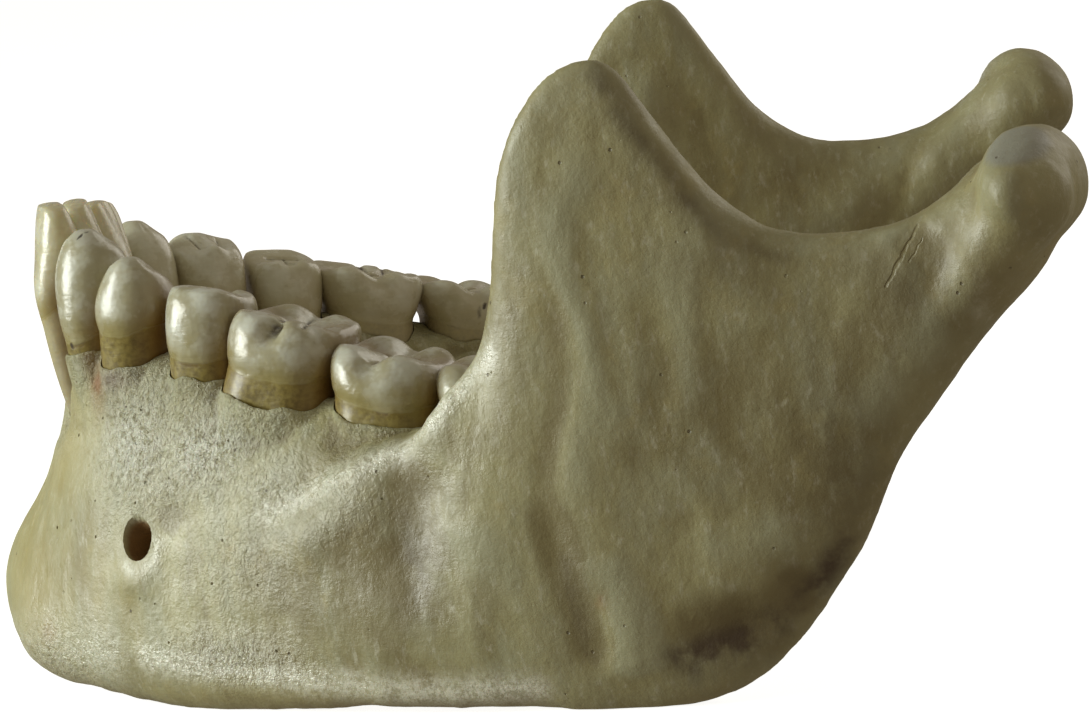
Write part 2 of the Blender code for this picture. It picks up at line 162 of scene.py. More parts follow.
# Small helpers for node trees
def addNode(tree, kind, inputs=(), **settings):
    node = tree.nodes.new(kind)
    for name, value in settings.items():
        setattr(node, name, value)
    for name, value in dict(inputs).items():
        socket = node.inputs[name]
        if isinstance(value, bpy.types.NodeSocket):
            tree.links.new(value, socket)
        else:
            socket.default_value = value
    return node


def maths(tree, operation, first, second=0.0):
    kind = "ShaderNodeMath"
    return addNode(tree, kind, {0: first, 1: second}, operation=operation).outputs[0]


def vectors(tree, operation, inputs, output="Vector"):
    return addNode(tree, "ShaderNodeVectorMath", inputs, operation=operation).outputs[output]


def ranged(tree, value, low, high, first=0.0, last=1.0):
    inputs = {"Value": value, "From Min": low, "From Max": high, "To Min": first, "To Max": last}
    node = addNode(tree, "ShaderNodeMapRange", inputs, interpolation_type="SMOOTHSTEP")
    return node.outputs["Result"]


def mixed(tree, share, first, second):
    inputs = {0: share, 6: first, 7: second}
    return addNode(tree, "ShaderNodeMix", inputs, data_type="RGBA").outputs[2]


def noise(tree, where, size, detail, roughness=0.55, stretch=None, distortion=0.0):
    # size is that of one lump, in millimetres
    if stretch is not None:
        where = addNode(tree, "ShaderNodeMapping", {"Vector": where, "Scale": stretch}).outputs[0]
    inputs = {
        "Vector": where, "Scale": 1.0 / (size * mm), "Detail": detail, "Roughness": roughness,
        "Distortion": distortion,
    }
    return addNode(tree, "ShaderNodeTexNoise", inputs).outputs[0]


def cells(tree, where, size):
    inputs = {"Vector": where, "Scale": 1.0 / (size * mm)}
    return addNode(tree, "ShaderNodeTexVoronoi", inputs).outputs["Distance"]


def attributeOf(tree, name):
    return addNode(tree, "ShaderNodeAttribute", attribute_name=name).outputs["Fac"]


def lineMark(tree, where, line, halfWidth, stretch=(1.0, 1.0, 1.0)):    # 1 on a thin line, 0 beside it
    # A small stretch lets the line reach deeper that way, where the surface isn't known so well.
    where = vectors(tree, "MULTIPLY", {0: where, 1: stretch})
    points = place(line) * np.array(stretch)
    total = None
    for start, end in zip(points[:-1], points[1:]):
        along = end - start
        away = vectors(tree, "SUBTRACT", {0: where, 1: tuple(start)})
        share = vectors(tree, "DOT_PRODUCT", {0: away, 1: tuple(along / (along @ along))}, "Value")
        share = maths(tree, "MINIMUM", maths(tree, "MAXIMUM", share, 0.0), 1.0)
        foot = vectors(tree, "SCALE", {0: tuple(along), "Scale": share})
        distance = vectors(tree, "DISTANCE", {0: away, 1: foot}, "Value")
        total = distance if total is None else maths(tree, "MINIMUM", total, distance)
    return ranged(tree, total, halfWidth * mm, 0.3 * halfWidth * mm)


def wavy(tree, where, size, reach):     # the place, shifted by noise, for lines drawn unevenly
    inputs = {"Vector": where, "Scale": 1.0 / (size * mm), "Detail": 2.0}
    shift = addNode(tree, "ShaderNodeTexNoise", inputs).outputs["Color"]
    shift = vectors(tree, "SUBTRACT", {0: shift, 1: (0.5, 0.5, 0.5)})
    shift = vectors(tree, "SCALE", {0: shift, "Scale": 2 * reach * mm})
    return vectors(tree, "ADD", {0: where, 1: shift})


def newMaterial(name):
    material = bpy.data.materials.new(name)
    material.use_nodes = True
    return material, material.node_tree, material.node_tree.nodes["Principled BSDF"]


def bumped(tree, layers):       # each layer is a height and its depth in millimetres
    normal = None
    for height, depth in layers:
        inputs = {"Height": height, "Distance": depth * mm, "Strength": 1.0}
        if normal is not None:
            inputs["Normal"] = normal
        normal = addNode(tree, "ShaderNodeBump", inputs).outputs["Normal"]
    return normal


def newGeometryTree(name, numbers):     # numbers: name, socket type, value
    tree = bpy.data.node_groups.new(name, "GeometryNodeTree")
    face = tree.interface
    face.new_socket("Geometry", in_out="INPUT", socket_type="NodeSocketGeometry")
    for label, kind, value in numbers:
        face.new_socket(label, in_out="INPUT", socket_type=kind).default_value = value
    face.new_socket("Material", in_out="INPUT", socket_type="NodeSocketMaterial")
    face.new_socket("Geometry", in_out="OUTPUT", socket_type="NodeSocketGeometry")
    return tree, tree.nodes.new("NodeGroupInput").outputs, tree.nodes.new("NodeGroupOutput")


def namedValue(tree, name):
    node = addNode(tree, "GeometryNodeInputNamedAttribute", {"Name": name}, data_type="FLOAT")
    return node.outputs[0]


def endTree(tree, geometry, material, output):
    real = addNode(tree, "GeometryNodeRealizeInstances", {"Geometry": geometry}).outputs[0]
    painted = addNode(tree, "GeometryNodeSetMaterial", {"Geometry": real, "Material": material})
    tree.links.new(painted.outputs[0], output.inputs[0])


def runTree(obj, tree, values):     # values by the inputs' names, set through their identifiers
    modifier = obj.modifiers.new(tree.name, "NODES")
    modifier.node_group = tree
    for item in tree.interface.items_tree:
        if item.item_type == "SOCKET" and item.in_out == "INPUT" and item.name in values:
            modifier[item.identifier] = values[item.name]
    return applied(obj)


# The photograph's camera
camera = {
    "photoSize": (1091, 713),
    "focalPixels": 5243.56,
    "sensorWidth": 36.0,
    "target": (56.857, 0.0, 27.216),
    "distance": 519.46,
    "azimuth": 5.6,
    "elevation": 6.692,
    "roll": -6.428,
}


def makeCamera():
    a, e, r = (math.radians(camera[k]) for k in ("azimuth", "elevation", "roll"))
    back = Vector((math.sin(a) * math.cos(e), -math.cos(a) * math.cos(e), math.sin(e)))
    level = Vector((math.cos(a), math.sin(a), 0.0))
    upright = back.cross(level)
    right = math.cos(r) * level + math.sin(r) * upright
    up = -math.sin(r) * level + math.cos(r) * upright
    data = bpy.data.cameras.new("photo_camera")
    data.sensor_width = camera["sensorWidth"]
    data.lens = camera["sensorWidth"] * camera["focalPixels"] / camera["photoSize"][0]
    data.clip_start = 0.01
    data.clip_end = 30.0
    obj = bpy.data.objects.new("photo_camera", data)
    bpy.context.scene.collection.objects.link(obj)
    target = Vector(place(camera["target"])[0])
    turn = Matrix((right, up, back)).transposed().to_4x4()
    obj.matrix_world = Matrix.Translation(target + back * camera["distance"] * mm) @ turn
    bpy.context.scene.camera = obj
    print("camera placed")


# The bone: sections of the left half, front to back: the point on the lower or back edge, the
# point on the upper or front edge, the way the outer face looks (0 forward, 90 sideways), and
# the thickness near the first edge, between them, and near the second.
jawSections = (
    (7.5, 0.0, 2.5, 14.3, 0.0, 31.6, 0, 14.4, 11.8, 7.8),
    (8.5, -7.4, 2.2, 14.6, -7.0, 31.8, 20, 14.0, 11.2, 8.0),
    (12.3, -14.4, 1.5, 17.4, -12.8, 33.0, 42, 12.6, 10.0, 8.8),
    (18.4, -20.4, 0.4, 21.6, -17.8, 31.8, 54, 11.6, 10.2, 9.8),
    (25.4, -25.4, -0.1, 28.0, -22.0, 29.6, 59, 10.8, 10.6, 10.6),
    (33.4, -30.2, 0.1, 35.8, -26.8, 27.4, 62, 10.2, 11.4, 11.6),
    (42.2, -35.0, 0.6, 43.2, -31.8, 25.4, 64, 9.6, 12.2, 11.0),
    (50.8, -39.2, 0.6, 48.6, -36.6, 25.6, 67, 9.2, 11.2, 8.0),
    (58.4, -42.4, 0.3, 51.9, -39.6, 28.8, 71, 8.8, 9.4, 6.6),
    (64.4, -44.6, -0.3, 55.1, -41.6, 33.6, 74, 8.6, 8.2, 6.0),
    (70.0, -46.2, -0.1, 57.1, -43.0, 39.0, 77, 8.4, 7.4, 5.4),
    (75.5, -47.2, 1.3, 58.1, -43.9, 44.6, 79, 8.2, 6.8, 5.0),
    (79.9, -47.9, 4.0, 59.2, -44.5, 50.0, 80, 8.0, 6.4, 4.6),
    (83.6, -48.4, 7.4, 61.7, -45.0, 54.9, 81, 7.8, 6.2, 4.2),
    (86.8, -48.8, 11.4, 65.4, -45.5, 58.3, 82, 7.6, 6.0, 4.0),
    (89.1, -49.1, 15.3, 69.2, -46.0, 58.5, 82, 7.6, 6.0, 4.0),
    (91.2, -49.4, 19.3, 73.0, -46.6, 52.8, 82, 7.8, 5.8, 4.0),
    (93.5, -49.6, 22.9, 77.2, -47.1, 46.4, 82, 8.0, 5.8, 4.2),
    (96.5, -49.9, 26.4, 82.4, -47.7, 42.2, 82, 8.2, 6.0, 4.4),
    (99.4, -50.3, 30.0, 89.0, -48.6, 41.0, 82, 8.6, 6.6, 5.0),
    (103.2, -50.6, 33.9, 95.6, -49.6, 41.9, 82, 9.2, 8.2, 6.4),
    (106.8, -50.8, 37.5, 100.4, -50.4, 44.4, 82, 10.0, 10.4, 8.6),
    (109.2, -50.9, 41.4, 103.4, -50.8, 46.4, 82, 10.0, 11.0, 9.6),
)
socketSections = (      # the ridge round the tooth roots
    (14.4, 0.0, 15.0, 13.4, 0.0, 32.6, 0, 7.0, 8.2, 7.4),
    (14.8, -7.2, 15.0, 13.4, -7.6, 32.8, 22, 7.0, 8.2, 7.6),
    (18.0, -12.8, 15.0, 16.5, -13.3, 34.4, 45, 7.5, 9.0, 8.4),
    (23.0, -17.0, 14.0, 21.2, -17.7, 33.6, 57, 8.0, 9.6, 9.0),
    (29.0, -20.9, 13.0, 27.8, -21.5, 32.0, 62, 8.0, 10.4, 9.8),
    (37.0, -25.2, 12.0, 36.2, -25.7, 29.4, 66, 8.0, 11.4, 11.2),
    (46.0, -29.2, 12.0, 45.5, -29.7, 27.2, 68, 8.0, 12.0, 11.8),
    (54.6, -32.6, 13.0, 54.4, -33.0, 26.6, 70, 7.0, 11.0, 10.4),
    (60.6, -36.2, 17.0, 60.4, -36.6, 26.6, 72, 5.0, 7.0, 6.0),
)
bone = {
    "voxel": 0.45,              # grain in which the lofts are blended
    "rounding": 2.3,            # how far that blending is smoothed
    "plump": 0.42,              # added all over, for what smoothing took away
    "aroundSection": 40,
    "stepsBetween": 6,
    "triangles": 150000,
    "sideHeight": 0.36, "sideWidth": 1.4,       # shares of what sideRelief says
    "sideWander": 1.1,          # how far its lines stray
    "rods": (                   # both ends, and the radius at each
        ((92.0, -48.6, 33.0), (104.6, -47.8, 42.2), 2.8, 4.6),
        ((60.0, -38.6, 22.0), (58.8, -40.6, 31.0), 3.6, 2.4),
        ((98.0, -51.0, 34.2), (106.0, -54.8, 43.4), 3.0, 3.6),      # the neck widens into the head
        ((99.6, -52.4, 34.6), (103.9, -56.6, 44.8), 1.1, 1.4),      # the crest under its front
        ((99.0, -48.6, 35.4), (106.0, -45.2, 43.8), 2.6, 3.5),
    ),
    "headCentre": (106.5, -50.4, 44.2),
    "headSize": (7.9, 18.4, 9.8),
    "headTurn": 16,             # its inner end lies further back
    "headLean": 14,             # its top leans forward
}
# Swellings and hollows of the surface: centre, reach along x, y and z, and height.
swellings = (
    ((0.0, 0.0, 11.5), (7.0, 10.0, 8.0), 2.9),
    ((4.0, -13.5, 5.5), (6.0, 6.0, 4.5), 1.3),
    ((6.0, 0.0, 22.0), (5.0, 12.0, 5.0), -0.6),
    ((46.0, -31.0, 8.0), (14.0, 6.0, 6.0), -1.4),
    ((22.0, -14.0, 13.0), (8.0, 5.0, 6.0), -0.8),
    ((72.0, -51.0, 20.0), (9.0, 5.0, 10.0), -0.6),
    ((76.0, -52.0, 5.0), (7.0, 5.0, 5.0), 0.8),
    ((16.0, 0.0, 9.0), (4.0, 3.0, 4.0), 1.4),
    ((55.0, -38.5, 28.5), (3.5, 2.2, 3.0), -1.0),
    ((16.6, -1.3, 11.2), (1.5, 0.8, 1.3), 1.3),       # the small spines behind the chin
    ((16.8, -1.0, 7.8), (1.5, 0.7, 1.5), 1.0),
    ((14.5, -6.0, 2.6), (3.0, 4.0, 2.2), -1.0),       # the muscle pits under them
    ((18.1, -24.2, 12.6), (2.2, 2.2, 1.6), 0.5),      # the lip under the chin's side hole
    ((21.5, -26.6, 18.6), (3.2, 2.0, 1.8), -0.5),     # and the groove that leads out of it
    ((9.8, -9.4, 29.6), (2.4, 2.4, 4.6), -1.3),       # bone lost in front of the second incisor
    ((104.2, -57.4, 49.0), (2.6, 4.6, 2.2), -1.0),    # the worn facet of the joint head
    ((97.6, -53.6, 37.6), (2.2, 3.0, 4.6), -0.5),
    ((47.2, -41.0, 15.5), (3.9, 5.0, 7.5), -1.1),     # the upright hollow before the ramus
    ((54.0, -43.4, 18.0), (3.6, 5.0, 8.0), 0.2),
    ((77.0, -51.5, 6.8), (5.0, 5.0, 2.2), -1.0),      # the hollow above the jaw's angle
    ((82.8, -51.5, 10.6), (3.4, 5.0, 2.6), -0.7),
    ((52.6, -42.0, 31.5), (3.0, 4.0, 4.0), -1.0),     # the front edge of the ramus by the last molar
    ((36.9, -33.0, 27.0), (2.8, 4.0, 3.0), 0.8),      # the bone below the first two molars
)
# Ridges of the surface: a line of points, its half width and its height.
ridges = (
    (((57.0, -36.0, 25.0), (61.0, -38.6, 31.0), (64.5, -41.4, 41.0), (67.5, -43.4, 53.0)), 2.4, 1.0),
    (((55.0, -43.5, 34.0), (50.0, -41.0, 25.5), (42.0, -37.2, 19.5), (33.0, -33.0, 14.0)), 2.6, 1.2),
    (((55.0, -43.3, 33.2), (50.4, -41.2, 28.5), (45.5, -38.6, 24.5), (41.7, -36.7, 22.3),
      (36.5, -34.0, 20.3)), 1.6, 0.6),
    (((18.0, -25.5, 3.2), (25.6, -30.2, 2.7), (34.7, -35.0, 1.9), (44.5, -39.5, 1.6), (57.0, -45.4, 1.4)),
     1.8, 0.6),
    (((82.0, -45.0, 32.0), (91.0, -45.2, 37.0), (100.0, -44.8, 41.5)), 2.6, 0.8),
    (((57.0, -31.5, 22.0), (46.0, -26.0, 17.0), (34.0, -20.5, 12.0), (22.0, -12.5, 8.0)), 2.4, 1.0),
)
# Relief seen from the side: which face of the bone, a line of x and z, its half width and height.
sideRelief = (
    ("outer", ((66.5, 53.0), (64.6, 46.8), (65.0, 37.5), (65.0, 27.0), (64.6, 17.5)), 1.7, 0.50),
    ("outer", ((62.3, 40.5), (61.5, 29.0), (60.5, 20.0), (60.4, 11.5)), 1.3, -0.55),
    ("outer", ((67.9, 45.0), (67.4, 35.0), (66.8, 27.5)), 1.4, -0.28),
    ("outer", ((70.2, 42.5), (69.0, 34.0), (68.2, 27.0), (68.8, 18.5)), 1.6, 0.24),
    ("outer", ((75.5, 48.4), (75.4, 41.0), (74.9, 33.0), (73.6, 24.5), (77.0, 17.0)), 2.1, 0.32),
    ("outer", ((72.0, 38.0), (71.4, 29.0), (71.6, 21.0)), 1.6, -0.24),
    ("outer", ((79.5, 36.0), (79.0, 27.0), (82.5, 19.0)), 2.4, -0.35),
    ("outer", ((64.4, 14.4), (66.6, 8.5), (67.8, 2.0)), 1.7, 0.95),
    ("outer", ((60.6, 21.0), (61.0, 13.0), (62.2, 8.0), (64.4, 3.2)), 2.1, -0.75),
    ("outer", ((70.8, 5.2), (75.8, 7.2), (81.8, 8.9), (85.6, 12.0)), 2.2, -1.0),
    ("outer", ((70.6, 1.8), (77.6, 3.8), (83.8, 8.8), (88.4, 14.4)), 1.3, 0.60),
    ("outer", ((74.0, 13.5), (78.0, 13.8), (83.0, 15.5)), 1.6, 0.35),
    ("outer", ((45.2, 18.0), (45.4, 11.0), (43.2, 6.5)), 3.0, -0.55),
    ("outer", ((52.0, 19.0), (53.4, 12.0), (54.0, 6.0)), 2.6, 0.35),
    ("outer", ((91.5, 40.6), (95.4, 43.0), (100.4, 45.0)), 1.4, 0.55),
    ("outer", ((94.0, 38.6), (98.0, 41.4)), 1.6, -0.55),
    ("outer", ((88.5, 24.0), (92.5, 29.0), (97.5, 34.0)), 1.6, 0.35),
    ("inner", ((78.4, 24.5), (75.0, 20.0), (69.0, 15.2), (61.0, 12.4)), 0.9, -0.75),
    ("inner", ((74.2, 29.5), (74.6, 25.6)), 1.3, 1.5),
    ("inner", ((74.0, 14.0), (79.5, 9.0)), 1.3, 0.6),
    ("inner", ((77.0, 16.5), (83.0, 12.0)), 1.3, 0.6),
    ("inner", ((81.0, 19.0), (86.5, 15.5)), 1.2, 0.5),
    ("inner", ((72.0, 9.5), (76.0, 5.5)), 1.3, 0.5),
    ("inner", ((66.0, 53.5), (67.0, 44.0), (70.0, 35.0)), 2.0, 0.5),
    ("inner", ((78.5, 38.5), (82.0, 36.5)), 1.2, -0.4),
)


def mirroredRows(table):    # from the right end to the left end through the midline
    rows = np.array(table, float)
    right = rows[:0:-1] * np.array([1, -1, 1, 1, -1, 1, -1, 1, 1, 1])
    return np.concatenate([right, rows])


def smoothRows(rows, steps):    # rows on a smooth curve through the given ones
    edges = np.abs(np.diff(rows[:, :6], axis=0)).reshape(-1, 2, 3)
    spans = np.linalg.norm(edges, axis=2).max(axis=1)
    at = np.concatenate([[0], np.cumsum(spans)])
    slopes = np.gradient(rows, at, axis=0)
    made = []
    for i in range(len(rows) - 1):
        for t in np.arange(steps) / steps:
            made.append(
                (2 * t**3 - 3 * t**2 + 1) * rows[i]
                + (t**3 - 2 * t**2 + t) * spans[i] * slopes[i]
                + (3 * t**2 - 2 * t**3) * rows[i + 1]
                + (t**3 - t**2) * spans[i] * slopes[i + 1]
            )
    made.append(rows[-1])
    return np.array(made)


def sectionRing(row, around):   # a rounded section between the two edge points of a row
    low, high, facing = row[:3], row[3:6], math.radians(row[6])
    out = np.array([-math.cos(facing), -math.sin(facing), 0.0])
    angle = 2 * math.pi * np.arange(around) / around
    c, s = np.cos(angle), np.sin(angle)
    along = 0.5 - 0.5 * np.sign(c) * np.abs(c) ** 0.85
    across = np.sign(s) * np.abs(s) ** 0.75
    first = 2 * (along - 0.5) * (along - 1)
    between = -4 * along * (along - 1)
    last = 2 * along * (along - 0.5)
    thickness = first * row[7] + between * row[8] + last * row[9]
    return low + np.outer(along, high - low) + np.outer(across * thickness / 2, out)


def tubeFaces(rings, around, openFirst=False):
    faces = []
    for i in range(rings - 1):
        for j in range(around):
            k = (j + 1) % around
            faces.append((i * around + j, i * around + k, (i + 1) * around + k, (i + 1) * around + j))
    if not openFirst:
        faces.append(tuple(range(around))[::-1])
    faces.append(tuple((rings - 1) * around + j for j in range(around)))
    return faces


def ribbon(table):      # the left half of a loft that crosses the midline, open there
    around, steps = bone["aroundSection"], bone["stepsBetween"]
    rows = smoothRows(mirroredRows(table), steps)[(len(table) - 1) * steps:]
    points = np.concatenate([sectionRing(row, around) for row in rows])
    return points, tubeFaces(len(rows), around, openFirst=True)


def rod(first, last, firstRadius, lastRadius, around=24):
    axis = Vector(last) - Vector(first)
    turn = axis.to_track_quat("Z", "Y").to_matrix().to_4x4()
    work = bmesh.new()
    bmesh.ops.create_cone(
        work, cap_ends=True, segments=around, radius1=firstRadius, radius2=lastRadius,
        depth=axis.length, matrix=Matrix.Translation(Vector(first) + axis / 2) @ turn,
    )
    return shapeOf(work)


def ball(centre, size, turn=0, lean=0, segments=32):
    matrix = Matrix.Translation(centre)
    matrix @= Matrix.Rotation(math.radians(-turn), 4, "Z") @ Matrix.Rotation(math.radians(-lean), 4, "Y")
    matrix @= Matrix.Diagonal((*size, 1))
    work = bmesh.new()
    bmesh.ops.create_uvsphere(
        work, u_segments=segments, v_segments=segments // 2, radius=0.5, matrix=matrix,
    )
    return shapeOf(work)


def blendedBone():      # the lofts, mirrored and blended into one skin
    shapes = [ribbon(jawSections), ribbon(socketSections)]
    shapes.append(ball(bone["headCentre"], bone["headSize"], bone["headTurn"], bone["headLean"]))
    for first, last, firstRadius, lastRadius in bone["rods"]:
        shapes.append(rod(first, last, firstRadius, lastRadius))
        shapes.append(ball(first, (2 * firstRadius,) * 3))
        shapes.append(ball(last, (2 * lastRadius,) * 3))
    points, faces = joined(shapes)
    obj = turnedOut(objectFrom("jaw_bone", place(points), faces))
    mirror = obj.modifiers.new("mirror", "MIRROR")
    mirror.use_axis = (False, True, False)
    mirror.merge_threshold = 0.00001
    blend = obj.modifiers.new("blend", "REMESH")
    blend.mode = "VOXEL"
    blend.voxel_size = bone["voxel"] * mm
    smooth = obj.modifiers.new("smooth", "SMOOTH")
    smooth.factor = 0.5
    smooth.iterations = round((bone["rounding"] / bone["voxel"]) ** 2)
    return applied(obj)


def leftSide(mesh):     # points and normals in table millimetres, folded onto the left side
    points, normals = tableOf(readPoints(mesh)), readPoints(mesh, "normal")
    right = points[:, 1] > 0
    points[right, 1] *= -1
    normals[right, 1] *= -1
    return points, normals, right


def sideMarks(points, normals, right):      # the relief that sideRelief tells of
    outward = np.where(points[:, 0] < 30, np.maximum(-normals[:, 1], -normals[:, 0]), -normals[:, 1])
    outer = smoothStep(outward, 0.15, 0.6)
    inner = smoothStep(normals[:, 1], 0.15, 0.6)
    spot = points + 40.0 * right[:, None]
    wander = np.stack([lumps(spot, 30.0, 5), lumps(spot, 30.0, 6)], axis=1) - 0.5
    flat = points[:, [0, 2]] + 2 * bone["sideWander"] * wander
    strength = 0.5 + 0.9 * lumps(spot, 16.0, 8)
    total = np.zeros(len(points))
    for face, line, halfWidth, height in sideRelief:
        away, along = lineDistance(flat, line)
        fade = smoothStep(np.minimum(along, 1 - along), -0.02, 0.2)
        amount = height * fade * np.exp(-((away / (halfWidth * bone["sideWidth"])) ** 2))
        total += amount * (outer if face == "outer" else inner)
    return total * strength * np.where(right, 0.8, 1.0)


def rootCover(points, normals):     # moves that keep a thin wall of bone over the roots
    moves = np.zeros(points.shape)
    for (kindName, neck, facing, leanOut, leanBack, drop), bare in zip(leftTeeth, bareRoots):
        kind = toothKinds[kindName]
        out, back = toothAxes(facing)
        away = points - np.array(neck)
        down = away[:, 2] + drop * (away @ back)
        along = away @ back - leanBack * down / kind["crown"]
        across = away @ out - leanOut * down / kind["crown"]
        share = rootShare(kind, down)
        half = kind["width"] / 2 * kind["wall"][0][1] * share + sockets["gap"]
        power = 2 / kind["square"]
        reach = np.clip(1 - np.clip(np.abs(along) / half, 0, 1) ** power, 0, 1) ** (1 / power)
        reach *= kind["depth"] / 2 * kind["wall"][0][2] * share + sockets["gap"]
        within = smoothStep(half + sockets["coverReach"] - np.abs(along), 0, sockets["coverFade"])
        within *= smoothStep(down, -kind["root"], -4.5)
        within *= smoothStep(-down, bare - 0.5, bare + 0.5)
        for side in (1, -1):
            facingOut = smoothStep(side * (normals @ out), 0.0, 0.4) * (side * across > 0)
            lack = reach + sockets["cover"] - side * across
            lack = np.logaddexp(0, 4 * lack) / 4 * (np.abs(lack) < 4)
            moves += np.outer(side * lack * within * facingOut, out)
    return moves


def shapeBone(obj):     # muscle marks, hollows, root bulges and the scalloped rim of the sockets
    mesh = obj.data
    points, normals, right = leftSide(mesh)
    moved = np.full(len(points), bone["plump"])
    for centre, reach, height in swellings:
        away = (points - np.array(centre)) / np.array(reach)
        moved += height * np.exp(-(away**2).sum(axis=1))
    for line, halfWidth, height in ridges:
        away, along = lineDistance(points, line)
        fade = np.clip(np.minimum(along, 1 - along) * 5, 0, 1)
        moved += height * fade * np.exp(-((away / halfWidth) ** 2))
    moved += sideMarks(points, normals, right) * bone["sideHeight"]
    crumbs = lumps(points, sockets["crumbleSize"], 11) - 0.5
    up = sockets["crumble"] * rimNearness(points) * crumbs
    for number, (kind, neck, *posture) in enumerate(leftTeeth):
        width, depth = toothKinds[kind]["width"], toothKinds[kind]["depth"]
        fullBulge = sockets["bulge"] * (sockets["canineBulge"] if kind == "canine" else 1.0)
        out, back = toothAxes(posture[0])
        neck = np.array(neck)
        for side, share in ((1, 1.0), (-1, sockets["innerBulge"])):
            top = neck + out * side * depth / 2 + np.array([0, 0, -bareRoots[number]])
            bottom = top + np.array([0, 0, -sockets["bulgeLength"]]) + out * side * sockets["rootSpread"]
            away, along = lineDistance(points, (top, bottom))
            bulge = fullBulge * share * smoothStep(1 - along, 0, 0.7)
            moved += bulge * np.exp(-((away / (0.26 * width + 0.7)) ** 2))
            dip = (points - top - out * side * 0.2) / np.array([0.42 * width, 0.42 * width, 2.4])
            up -= sockets["scallop"] * share * np.exp(-(dip**2).sum(axis=1))
        if number + 1 < len(leftTeeth):                 # the rim stands up between two teeth
            between = (neck + np.array(leftTeeth[number + 1][1])) / 2
            rise = (points - between + np.array([0, 0, 2.5])) / np.array([2.6, 2.6, 2.4])
            up += sockets["septum"] * np.exp(-(rise**2).sum(axis=1))
    covered = rootCover(points + normals * moved[:, None], normals)
    covered[right, 1] *= -1
    normals[right, 1] *= -1
    shifted = readPoints(mesh) + (normals * moved[:, None] + covered) * mm
    shifted[:, 2] += up * mm
    writePoints(mesh, shifted)
    print("bone shaped:", len(mesh.polygons), "faces")


